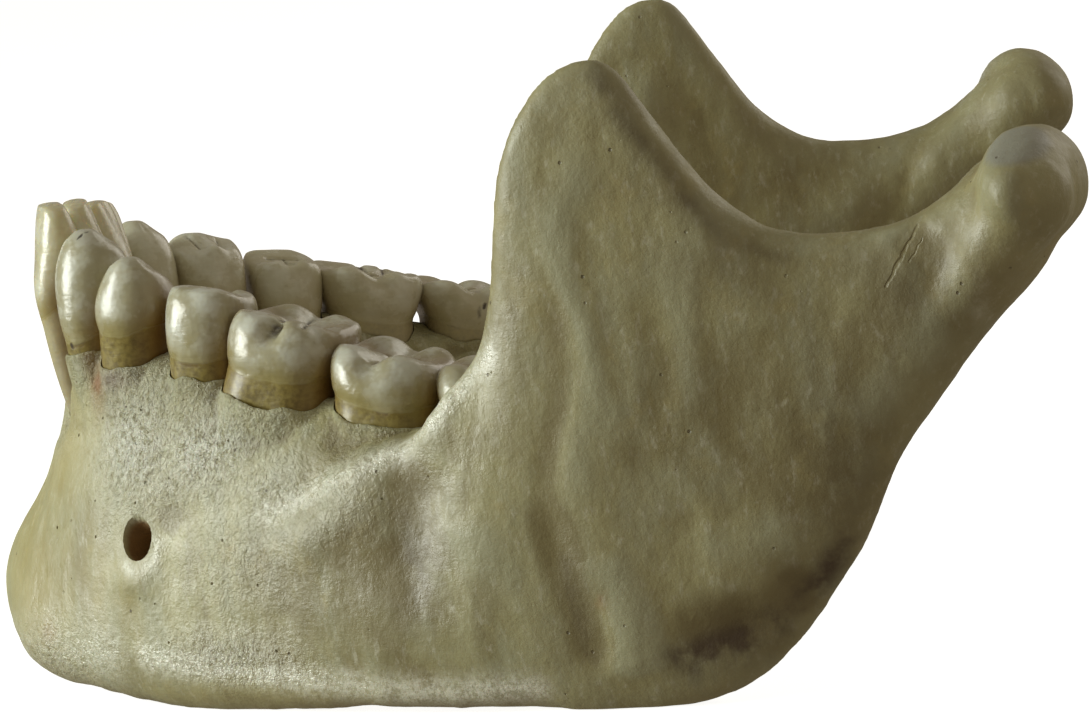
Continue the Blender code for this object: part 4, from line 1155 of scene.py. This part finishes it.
paintedShadeLines = (               # painted shade on the left outer face, along its grooves and hollows and the coronoid's back edge: a line of x and z, half a width, strength
    (((68.6, 57.6), (70.4, 54.0), (73.0, 50.0), (76.3, 45.2)), 0.9, 0.6),
    (((76.3, 45.2), (79.0, 41.8), (84.0, 39.6)), 0.8, 0.4),
    (((70.7, 4.7), (74.2, 5.9), (78.7, 6.8), (83.4, 9.8), (86.7, 13.8)), 1.5, 1.0),
    (((72.0, 4.6), (79.5, 6.0)), 2.0, 1.0),
    (((61.4, 14.0), (61.6, 10.0), (62.6, 5.5)), 0.9, 0.45),
    (((104.6, 46.4), (106.0, 41.0), (104.0, 36.5)), 1.9, 0.14),
)
highlightLines = (              # painted highlights: lighter streaks where the surface is also smoother: a line of points, half a width, strength
    (((55.5, -44.6, 33.4), (50.4, -42.2, 28.5), (45.5, -39.6, 24.6), (41.7, -37.4, 22.3)), 1.4, 1.0),
    (((41.7, -37.4, 22.3), (36.9, -35.0, 20.4), (32.5, -33.0, 19.6)), 1.8, 1.0),
    (((3.5, -8.0, 5.2), (8.0, -15.0, 5.2), (14.0, -21.5, 5.2)), 2.8, 0.7),
    (((16.8, -24.4, 14.2), (18.4, -25.0, 13.1), (20.2, -26.1, 14.2), (20.8, -26.6, 16.2)), 0.6, 0.7),
    (((100.7, -54.0, 33.4), (101.0, -54.9, 36.0), (101.4, -55.9, 39.4), (101.8, -58.6, 43.0)), 0.8, 0.2),
    (((18.0, -25.5, 5.2), (25.6, -30.7, 4.6), (34.7, -35.0, 3.4), (44.5, -39.7, 2.6),
      (57.0, -45.6, 2.2)), 1.5, 1.0),
)


def patchOf(points, right, name):
    total = np.zeros(len(points))
    for centre, reach, strength, side in patches[name]:
        away = (points - np.array(centre)) / np.array(reach)
        here = {"both": 1.0, "left": ~right, "right": right}[side]
        total = np.maximum(total, strength * here * np.exp(-(away**2).sum(axis=1)))
    return total


def rimNearness(points):    # 1 at the rim of the sockets, falling to 0 some millimetres below
    nearest = np.full(len(points), 99.0)
    for (kind, neck, *posture), bare in zip(leftTeeth, bareRoots):
        out, back = toothAxes(posture[0])
        foot = np.array(neck) + np.array([0, 0, -bare])
        away = points - foot
        across = np.hypot(away @ out / 1.4, away @ back)
        nearest = np.minimum(nearest, np.hypot(across * 0.6, np.minimum(away[:, 2] + 1.0, 0) * 0.8))
    return 1 - smoothStep(nearest, 2.2, 5.5)


def lumps(points, size, seed):      # cheap soft noise from a few waves, from 0 to 1
    draw = np.random.default_rng(seed)
    total = np.zeros(len(points))
    for _ in range(9):
        wave = draw.normal(0, 2 * math.pi / size, 3)
        total += np.sin(points @ wave + draw.uniform(0, 2 * math.pi))
    return smoothStep(total / 3, -1.2, 1.2)


def markSurface(mesh):      # where the bone is rough and where it is porous
    points, normals, right = leftSide(mesh)
    rim = rimNearness(points)
    pale = patchOf(points, right, "pale")
    wild = lumps(tableOf(readPoints(mesh)), 9.0, 3)
    dark = patchOf(points, right, "dark")
    rough = np.clip(0.7 * rim + 0.9 * pale * (0.4 + 0.6 * wild) + 0.5 * dark + 0.1, 0, 1)
    porous = np.clip(0.5 * rim + 0.5 * pale + 0.012 + 0.05 * (points[:, 0] < 30), 0, 1)
    porous *= smoothStep(points[:, 2], 1.0, 3.0)
    giveAttribute(mesh, "rough", rough)
    giveAttribute(mesh, "porous", porous)


def surfaceBend(mesh, passes=24):   # above 0 on ridges, below 0 in hollows
    points = readPoints(mesh)
    edges = np.empty(len(mesh.edges) * 2, np.int32)
    mesh.edges.foreach_get("vertices", edges)
    a, b = edges.reshape(-1, 2).T
    count = np.bincount(a, minlength=len(points)) + np.bincount(b, minlength=len(points))
    count = np.maximum(count, 1)[:, None]
    soft = points.copy()
    for _ in range(passes):
        gathered = np.stack([
            np.bincount(a, soft[b, axis], len(points)) + np.bincount(b, soft[a, axis], len(points))
            for axis in range(3)
        ], axis=1)
        soft = 0.5 * soft + 0.5 * gathered / count
    return ((points - soft) * readPoints(mesh, "normal")).sum(axis=1) / mm


def addCutter(name, shape, collection, mirror):
    if mirror:
        shape = mirrored(shape)
    obj = turnedOut(objectFrom(name, place(shape[0]), shape[1]))
    bpy.context.scene.collection.objects.unlink(obj)
    collection.objects.link(obj)


def makeBone(material):
    obj = blendedBone()
    shapeBone(obj)
    markSurface(obj.data)
    runTree(obj, reliefTree(), {"Material": material})
    fewer = obj.modifiers.new("fewer", "DECIMATE")
    fewer.ratio = bone["triangles"] / (2 * len(obj.data.polygons))
    fewer.use_collapse_triangulate = True
    applied(obj)
    print("relief made:", len(obj.data.polygons), "triangles")

    uncut = obj.data.copy()
    cutters = bpy.data.collections.new("cutters")
    bpy.context.scene.collection.children.link(cutters)
    for name, kind, neck, posture, form, mirror in toothRows():
        addCutter(f"socket_{name}", rootCutter(kind, neck, posture, form), cutters, mirror)
    for number, (line, radii) in enumerate(holes):
        for mirror in (False, True):
            addCutter(f"hole_{number}_{mirror}", bentHole(line, radii), cutters, mirror)
    for number, (line, radii) in enumerate(midHoles):
        addCutter(f"mid_hole_{number}", bentHole(line, radii), cutters, False)
    specks = bpy.data.objects.new("pores", obj.data.copy())
    cutters.objects.link(specks)
    runTree(specks, poreTree(), {"Material": material})
    print("pores:", len(specks.data.polygons) // pores["ballFaces"])
    work = bmesh.new()
    slab = Matrix.Translation((55, 0, -10)) @ Matrix.Diagonal((300, 300, 20, 1))
    bmesh.ops.create_cube(work, size=1.0, matrix=slab)
    addCutter("table_top", shapeOf(work), cutters, False)
    cut = obj.modifiers.new("cut", "BOOLEAN")
    cut.operation = "DIFFERENCE"
    cut.solver = "MANIFOLD"
    cut.operand_type = "COLLECTION"
    cut.collection = cutters
    applied(obj)
    for helper in list(cutters.objects):
        bpy.data.objects.remove(helper, do_unlink=True)
    bpy.data.collections.remove(cutters)
    keepLargest(obj)
    print("sockets, holes and pores cut:", len(obj.data.polygons), "faces")

    mesh = obj.data
    points, normals, right = leftSide(mesh)
    tree = BVHTree.FromPolygons(
        [v.co for v in uncut.vertices], [tuple(p.vertices) for p in uncut.polygons],
    )
    inside = np.array([tree.find_nearest(v.co)[3] for v in mesh.vertices]) / mm
    bpy.data.meshes.remove(uncut)
    giveAttribute(mesh, "inside", np.clip(inside, 0, 3))
    giveAttribute(mesh, "bend", np.clip(surfaceBend(mesh) * 4, -1, 1))
    rim = rimNearness(points)
    giveAttribute(mesh, "rim", rim)
    giveAttribute(mesh, "shade", np.clip(sideMarks(points, normals, right), -1, 1))
    leftFace = ~right * smoothStep(-normals[:, 1], 0.0, 0.3)
    for name in patches:
        here = patchOf(points, right, name)
        if name == "dark":
            for line, halfWidth, strength in paintedShadeLines:
                away, _ = lineDistance(points[:, [0, 2]], line)
                here = np.maximum(here, strength * leftFace * np.exp(-((away / halfWidth) ** 2)))
        giveAttribute(mesh, name, here)
    glossAndHighlight = np.zeros(len(points))
    for line, halfWidth, strength in highlightLines:
        away, _ = lineDistance(points, line)
        glossAndHighlight = np.maximum(glossAndHighlight, strength * np.exp(-((away / halfWidth) ** 2)))
    giveAttribute(mesh, "glossAndHighlight", glossAndHighlight)
    mesh.materials.clear()
    mesh.materials.append(material)
    mesh.shade_smooth()
    mesh.set_sharp_from_angle(angle=math.radians(52))
    print("bone finished:", len(mesh.polygons), "faces")
    return obj


def keepLargest(obj):       # drops the loose scraps that cutting leaves
    work = bmesh.new()
    work.from_mesh(obj.data)
    seen, shells = set(), []
    for vert in work.verts:
        if vert in seen:
            continue
        shell, queue = [], [vert]
        seen.add(vert)
        while queue:
            at = queue.pop()
            shell.append(at)
            for edge in at.link_edges:
                other = edge.other_vert(at)
                if other not in seen:
                    seen.add(other)
                    queue.append(other)
        shells.append(shell)
    shells.sort(key=len)
    for shell in shells[:-1]:
        bmesh.ops.delete(work, geom=shell, context="VERTS")
    work.to_mesh(obj.data)
    work.free()


# Finishes
boneFinish = {
    "deep": (0.245, 0.210, 0.082, 1), "light": (0.452, 0.435, 0.212, 1), "grey": (0.400, 0.408, 0.248, 1),
    "chalkAndHighlight": (0.93, 0.95, 0.80, 1), "ochre": (0.470, 0.405, 0.155, 1), "recessShade": (0.24, 0.135, 0.040, 1),
    "dark": (0.066, 0.038, 0.008, 1), "rust": (0.33, 0.155, 0.050, 1), "violet": (0.30, 0.22, 0.20, 1),
    "cap": (0.30, 0.305, 0.245, 1),
    "noises": {             # one lump's size, detail, roughness, how it is drawn out, distortion
        "broad": (20.0, 3.0, 0.6, None, 0.5),
        "streak": (4.2, 4.0, 0.62, (1.0, 1.0, 0.30)),
        "blotch": (5.0, 4.0, 0.65),
        "grain": (0.85, 4.0, 0.7, (1.0, 1.0, 0.45)),
        "speckle": (0.75, 5.0, 0.85),
        "sparse": (3.4, 1.0),
        "patchy": (2.6, 3.0, 0.6),
        "grit": (0.7, 4.0, 0.7),
        "fibres": (0.8, 3.0, 0.6, (0.22, 0.5, 1.6)),
        "waves": (2.6, 4.0, 0.6, (1.0, 1.0, 0.7)),
        "glitter": (0.3, 2.0, 0.6),
    },
    "layers": (             # what a tone follows, between which values, its least and most, the tone
        ("broad", 0.34, 0.64, 0.0, 1.0, "light"),
        ("streak", 0.46, 0.66, 0.0, 0.8, "grey"),
        ("streak", 0.47, 0.30, 0.0, 0.75, "deep"),
        ("blotch", 0.50, 0.68, 0.0, 0.55, "light"),
        ("blotch", 0.45, 0.30, 0.0, 0.45, "ochre"),
        ("grain", 0.52, 0.74, 0.0, 0.36, "chalkAndHighlight"),
        ("grain", 0.46, 0.28, 0.0, 0.45, "deep"),
        # painted highlight on ridges and painted shade in hollows
        ("bend", 0.03, 0.5, 0.0, 0.3, "grey"),
        ("bend", -0.03, -0.5, 0.0, 0.8, "deep"),
        ("backward", -0.012, 0.014, 0.0, 0.35, "deep"),
        ("shade", 0.04, 0.5, 0.0, 0.6, "grey"),
        ("shade", -0.04, -0.6, 0.0, 0.85, "deep"),
    ),
    "scratches": (          # on the left neck: lines of points and half a width
        (((92.8, -52.9, 36.6), (93.7, -53.0, 38.0), (94.9, -52.9, 39.9), (96.0, -52.5, 41.6)), 0.22),
        (((95.0, -53.2, 38.6), (96.4, -53.2, 40.6)), 0.15),
    ),
}


def boneMaterial():
    material, tree, shader = newMaterial("dry_bone")
    where = addNode(tree, "ShaderNodeTexCoord").outputs["Object"]
    marks = {k: attributeOf(tree, k) for k in ("inside", "bend", "rim", "glossAndHighlight", "shade", *patches)}
    tone = boneFinish
    marks.update({name: noise(tree, where, *row) for name, row in tone["noises"].items()})
    marks["backward"] = addNode(tree, "ShaderNodeSeparateXYZ", {0: where}).outputs[0]
    colour = tone["deep"]
    for name, *values, layer in tone["layers"]:
        colour = mixed(tree, ranged(tree, marks[name], *values), colour, tone[layer])
    colour = mixed(tree, maths(tree, "MULTIPLY", marks["ochre"], 0.7), colour, tone["ochre"])
    # the pale patches and the streaks of painted highlight are whitened together
    pale = maths(tree, "MAXIMUM", marks["pale"], maths(tree, "MULTIPLY", marks["glossAndHighlight"], 0.9))
    chalkAndHighlightShare = maths(tree, "MULTIPLY", pale, ranged(tree, marks["speckle"], 0.42, 0.55, 0.36, 1.0))
    colour = mixed(tree, chalkAndHighlightShare, colour, tone["chalkAndHighlight"])
    grimy = maths(tree, "MULTIPLY", marks["pale"], ranged(tree, marks["speckle"], 0.45, 0.36, 0.0, 0.6))
    colour = mixed(tree, grimy, colour, tone["deep"])
    # painted shade where the dark patches and lines lie, mottled by the blotches
    paintedShade = maths(tree, "MULTIPLY", marks["dark"], ranged(tree, marks["blotch"], 0.38, 0.60, 0.5, 1.0))
    colour = mixed(tree, paintedShade, colour, tone["dark"])
    rusty = maths(tree, "MULTIPLY", marks["stain"], ranged(tree, marks["blotch"], 0.35, 0.6, 0.5, 0.95))
    colour = mixed(tree, rusty, colour, tone["rust"])
    colour = mixed(tree, marks["bruise"], colour, tone["violet"])
    colour = mixed(tree, ranged(tree, marks["cap"], 0.35, 0.6, 0.0, 0.9), colour, tone["cap"])
    pit = cells(tree, where, 1.5)
    dot = ranged(tree, pit, 0.13, 0.06, 0.0, 0.7)
    sparse = ranged(tree, marks["sparse"], 0.58, 0.66)
    dot = maths(tree, "MULTIPLY", dot, sparse)
    colour = mixed(tree, dot, colour, tone["dark"])
    bent = wavy(tree, where, 1.2, 0.25)
    scratch = None
    for line, halfWidth in tone["scratches"]:
        mark = lineMark(tree, bent, line, halfWidth, (1.0, 0.2, 1.0))
        scratch = mark if scratch is None else maths(tree, "MAXIMUM", scratch, mark)
    colour = mixed(tree, maths(tree, "MULTIPLY", scratch, 0.5), colour, tone["deep"])
    # painted shade: darker and browner deeper inside the sockets, holes and pores
    colour = mixed(tree, ranged(tree, marks["inside"], 0.05, 0.9, 0.0, 1.0), colour, tone["recessShade"])
    tree.links.new(colour, shader.inputs["Base Color"])

    rough = ranged(tree, marks["patchy"], 0.3, 0.7, 0.38, 0.55)
    rough = maths(tree, "ADD", rough, ranged(tree, marks["backward"], -0.006, 0.012, 0.0, 0.10))
    rough = maths(tree, "SUBTRACT", rough, maths(tree, "MULTIPLY", marks["glossAndHighlight"], 0.25))
    rough = maths(tree, "SUBTRACT", rough, maths(tree, "MULTIPLY", marks["pale"], 0.24))
    rough = maths(tree, "ADD", rough, ranged(tree, marks["inside"], 0.05, 0.5, 0.0, 0.3))
    tree.links.new(rough, shader.inputs["Roughness"])
    shader.inputs["Specular IOR Level"].default_value = 0.85
    shader.inputs["Subsurface Weight"].default_value = 0.06
    shader.inputs["Subsurface Radius"].default_value = (1.0, 0.6, 0.35)
    shader.inputs["Subsurface Scale"].default_value = 1.2 * mm

    atRim = maths(tree, "MULTIPLY", marks["rim"], 0.6)
    coarse = maths(tree, "ADD", maths(tree, "MULTIPLY", marks["pale"], 0.9), atRim)
    coarse = maths(tree, "ADD", coarse, 0.09)
    grit = maths(tree, "MULTIPLY", marks["grit"], coarse)
    fibres = maths(tree, "MULTIPLY", marks["fibres"], maths(tree, "ADD", marks["glossAndHighlight"], 0.25))
    shown = maths(tree, "ADD", marks["pale"], maths(tree, "MULTIPLY", marks["glossAndHighlight"], 0.15))
    glitter = maths(tree, "MULTIPLY", marks["glitter"], maths(tree, "ADD", shown, 0.05))
    sunk = maths(tree, "ADD", maths(tree, "MULTIPLY", scratch, -0.5), maths(tree, "MULTIPLY", dot, -1.0))
    normal = bumped(tree, (
        (marks["waves"], 0.15), (fibres, 0.09), (grit, 0.70), (glitter, 0.30), (sunk, 0.16),
    ))
    tree.links.new(normal, shader.inputs["Normal"])
    print("bone finish made")
    return material


toothFinish = {
    "enamel": (0.45, 0.43, 0.275, 1), "blueWhite": (0.70, 0.73, 0.62, 1),
    "dentine": (0.34, 0.285, 0.078, 1), "ivory": (0.76, 0.74, 0.52, 1),
    "root": (0.155, 0.115, 0.016, 1), "rootLight": (0.37, 0.30, 0.065, 1),
    "brown": (0.120, 0.062, 0.015, 1), "gapShade": (0.23, 0.125, 0.030, 1),
    "fissure": (0.030, 0.016, 0.006, 1), "tartar": (0.46, 0.36, 0.16, 1),
    "kinds": {              # light inside: share, reach in mm; ivory on the crown and on the root
        "tooth": (0.10, 0.9, 0.0, 0.0),
        "thin_tooth": (0.65, 3.2, 0.55, 0.45),
    },
    "cracks": (             # thin dark lines: points and half a width
        (((14.4, -15.8, 44.9), (15.2, -15.2, 45.5), (15.9, -14.4, 45.9)), 0.20),
        (((33.9, -31.8, 35.1), (34.2, -30.5, 35.8), (34.5, -29.2, 36.5)), 0.50),
        (((47.8, 24.3, 31.6), (48.3, 24.4, 30.4), (48.0, 24.6, 28.8), (48.5, 24.8, 27.4)), 0.34),
        (((49.3, 24.9, 31.2), (48.6, 24.8, 30.0)), 0.26),
    ),
    "dots": (               # small dark spots: their middle and half a width
        ((12.9, -16.0, 34.8), 0.42), ((23.6, 15.6, 41.0), 0.85), ((25.4, 16.2, 39.6), 0.4),
    ),
}


def toothMaterial(name):
    material, tree, shader = newMaterial(name)
    weight, reach, crownIvory, rootIvory = toothFinish["kinds"][name]
    where = addNode(tree, "ShaderNodeTexCoord").outputs["Object"]
    names = ("aboveNeck", "crease", "toothTone", "between")
    above, crease, own, between = (attributeOf(tree, k) for k in names)
    tone = toothFinish
    cloud = noise(tree, where, 3.2, 3.0, 0.6)
    fine = noise(tree, where, 0.6, 3.0, 0.6)
    bands = noise(tree, where, 1.3, 3.0, 0.6, stretch=(0.5, 0.5, 2.0))
    wobble = maths(tree, "MULTIPLY", maths(tree, "SUBTRACT", cloud, 0.5), 1.1)
    level = maths(tree, "ADD", above, wobble)
    enamel = mixed(tree, ranged(tree, cloud, 0.40, 0.66), tone["enamel"], tone["blueWhite"])
    enamel = mixed(tree, ranged(tree, own, 0.2, 1.0, 0.0, 0.4), enamel, tone["enamel"])
    enamel = mixed(tree, crownIvory, enamel, tone["ivory"])
    enamel = mixed(tree, ranged(tree, level, 3.6, 0.0, 0.0, 0.78), enamel, tone["dentine"])
    enamel = mixed(tree, ranged(tree, bands, 0.52, 0.70, 0.0, 0.15), enamel, tone["tartar"])
    root = mixed(tree, ranged(tree, fine, 0.3, 0.7, 0.1, 0.8), tone["root"], tone["rootLight"])
    root = mixed(tree, ranged(tree, bands, 0.48, 0.66, 0.0, 0.4), root, tone["dentine"])
    # painted shade: the root browner further down
    root = mixed(tree, ranged(tree, level, -1.8, -5.5, 0.0, 0.6), root, tone["brown"])
    root = mixed(tree, rootIvory, root, tone["ivory"])
    colour = mixed(tree, ranged(tree, level, -0.12, 0.12), root, enamel)
    # painted shade: amber-brown on the sides that face other teeth, near the neck
    gapShade = maths(tree, "MULTIPLY", between, ranged(tree, above, 7.0, 0.5, 0.0, 0.92))
    colour = mixed(tree, gapShade, colour, tone["gapShade"])
    line = maths(tree, "MULTIPLY", ranged(tree, level, -0.5, -0.1), ranged(tree, level, 0.25, 0.0))
    crust = maths(tree, "MULTIPLY", line, ranged(tree, cloud, 0.48, 0.62, 0.0, 0.5))
    colour = mixed(tree, crust, colour, tone["brown"])
    pale = maths(tree, "MULTIPLY", line, ranged(tree, fine, 0.50, 0.36, 0.0, 0.5))
    colour = mixed(tree, pale, colour, tone["rootLight"])
    # painted light: the teeth of the far row are made lighter
    sideways = addNode(tree, "ShaderNodeSeparateXYZ", {0: where}).outputs[1]
    colour = mixed(tree, ranged(tree, sideways, 0.002, 0.012, 0.0, 0.35), colour, tone["ivory"])
    crack = maths(tree, "MULTIPLY", crease, ranged(tree, fine, 0.3, 0.6, 0.65, 1.0))
    colour = mixed(tree, ranged(tree, crack, 0.30, 0.85, 0.0, 0.92), colour, tone["fissure"])
    bent = wavy(tree, where, 0.9, 0.22)
    dark = None
    for points, halfWidth in tone["cracks"]:
        mark = lineMark(tree, bent, points, halfWidth)
        dark = mark if dark is None else maths(tree, "MAXIMUM", dark, mark)
    for middle, halfWidth in tone["dots"]:
        lower = (middle[0], middle[1], middle[2] - 0.1)
        dark = maths(tree, "MAXIMUM", dark, lineMark(tree, bent, (middle, lower), halfWidth))
    colour = mixed(tree, maths(tree, "MULTIPLY", dark, 0.9), colour, tone["fissure"])
    tree.links.new(colour, shader.inputs["Base Color"])
    gloss = ranged(tree, level, -0.2, 0.3, 0.46, 0.24)
    gloss = maths(tree, "ADD", gloss, ranged(tree, cloud, 0.4, 0.7, 0.0, 0.1))
    gloss = maths(tree, "ADD", gloss, maths(tree, "MULTIPLY", dark, 0.3))
    tree.links.new(gloss, shader.inputs["Roughness"])
    shader.inputs["Specular IOR Level"].default_value = 0.55
    shader.inputs["Subsurface Weight"].default_value = weight
    shader.inputs["Subsurface Radius"].default_value = (1.0, 0.82, 0.50)
    shader.inputs["Subsurface Scale"].default_value = reach * mm
    shader.inputs["Coat Weight"].default_value = 0.55
    shader.inputs["Coat Roughness"].default_value = 0.26
    rings = noise(tree, where, 0.8, 2.0, 0.5, stretch=(0.3, 0.3, 2.2))
    lumpy = noise(tree, where, 1.8, 2.0, 0.5)
    sunk = maths(tree, "MULTIPLY", maths(tree, "ADD", dark, crust), -1.0)
    normal = bumped(tree, ((lumpy, 0.16), (rings, 0.035), (fine, 0.02), (sunk, 0.08)))
    tree.links.new(normal, shader.inputs["Normal"])
    print("finish made:", name)
    return material


# The table top and the light
stage = {
    "floorSize": 16.0,
    "floorDrop": 0.1 * mm,      # it lies this far below the part's foot
    "floorColour": (0.55, 0.55, 0.545, 1), "floorGlow": 0.90,
    "glowColour": (1.0, 1.0, 0.99, 1),
    "sky": (1.0, 0.84, 0.66, 1), "skyStrength": 0.22,
    "lamps": (      # name, where it stands and looks at, in metres, its sides, its watts, its colour
        ("window", (-0.66, -0.100, 0.17), (0.0, -0.01, 0.02), (0.28, 0.40), 4.0, (0.96, 1.0, 0.94)),
        ("soft_top", (-0.30, -0.25, 0.90), (0.0, 0.0, 0.03), (0.8, 0.8), 0.72, (0.96, 1.0, 0.97)),
        ("warm_wall", (0.85, -0.55, 0.25), (0.0, 0.0, 0.03), (0.9, 0.7), 0.50, (1.0, 0.80, 0.60)),
        ("back_fill", (0.70, 0.75, 0.50), (0.0, 0.0, 0.03), (0.8, 0.8), 2.6, (1.0, 0.96, 0.88)),
    ),
}


def makeStage():
    half = stage["floorSize"] / 2
    corners = [(-half, -half, 0), (half, -half, 0), (half, half, 0), (-half, half, 0)]
    floor = objectFrom("table_top", corners, [(0, 1, 2, 3)])
    floor.location.z = -stage["floorDrop"]
    material, _, shader = newMaterial("pale_table")
    shader.inputs["Base Color"].default_value = stage["floorColour"]
    shader.inputs["Roughness"].default_value = 0.7
    shader.inputs["Emission Color"].default_value = stage["glowColour"]
    shader.inputs["Emission Strength"].default_value = stage["floorGlow"]
    floor.data.materials.append(material)
    floor.visible_diffuse = False       # it is seen, and its glow doesn't flatten the shade
    floor.visible_glossy = False
    world = bpy.data.worlds.new("studio")
    world.use_nodes = True
    sky = world.node_tree.nodes["Background"]
    sky.inputs["Color"].default_value = stage["sky"]
    sky.inputs["Strength"].default_value = stage["skyStrength"]
    bpy.context.scene.world = world
    for name, at, target, sides, power, colour in stage["lamps"]:
        data = bpy.data.lights.new(name, "AREA")
        data.shape = "RECTANGLE"
        data.size, data.size_y = sides
        data.energy = power
        data.color = colour
        lamp = bpy.data.objects.new(name, data)
        bpy.context.scene.collection.objects.link(lamp)
        lamp.location = at
        lamp.rotation_euler = (Vector(target) - Vector(at)).to_track_quat("-Z", "Y").to_euler()
    bpy.context.scene.view_settings.view_transform = "Standard"
    print("table and lamps placed")


def build():
    makeCamera()
    teeth = makeTeeth({name: toothMaterial(name) for name in toothFinish["kinds"]})
    skin = makeBone(boneMaterial())
    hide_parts("mandible_body", "ramus_left", "ramus_right")
    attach(skin, "root")
    for obj in teeth:
        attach(obj, "root")
    makeStage()
    print("all in place")


build()
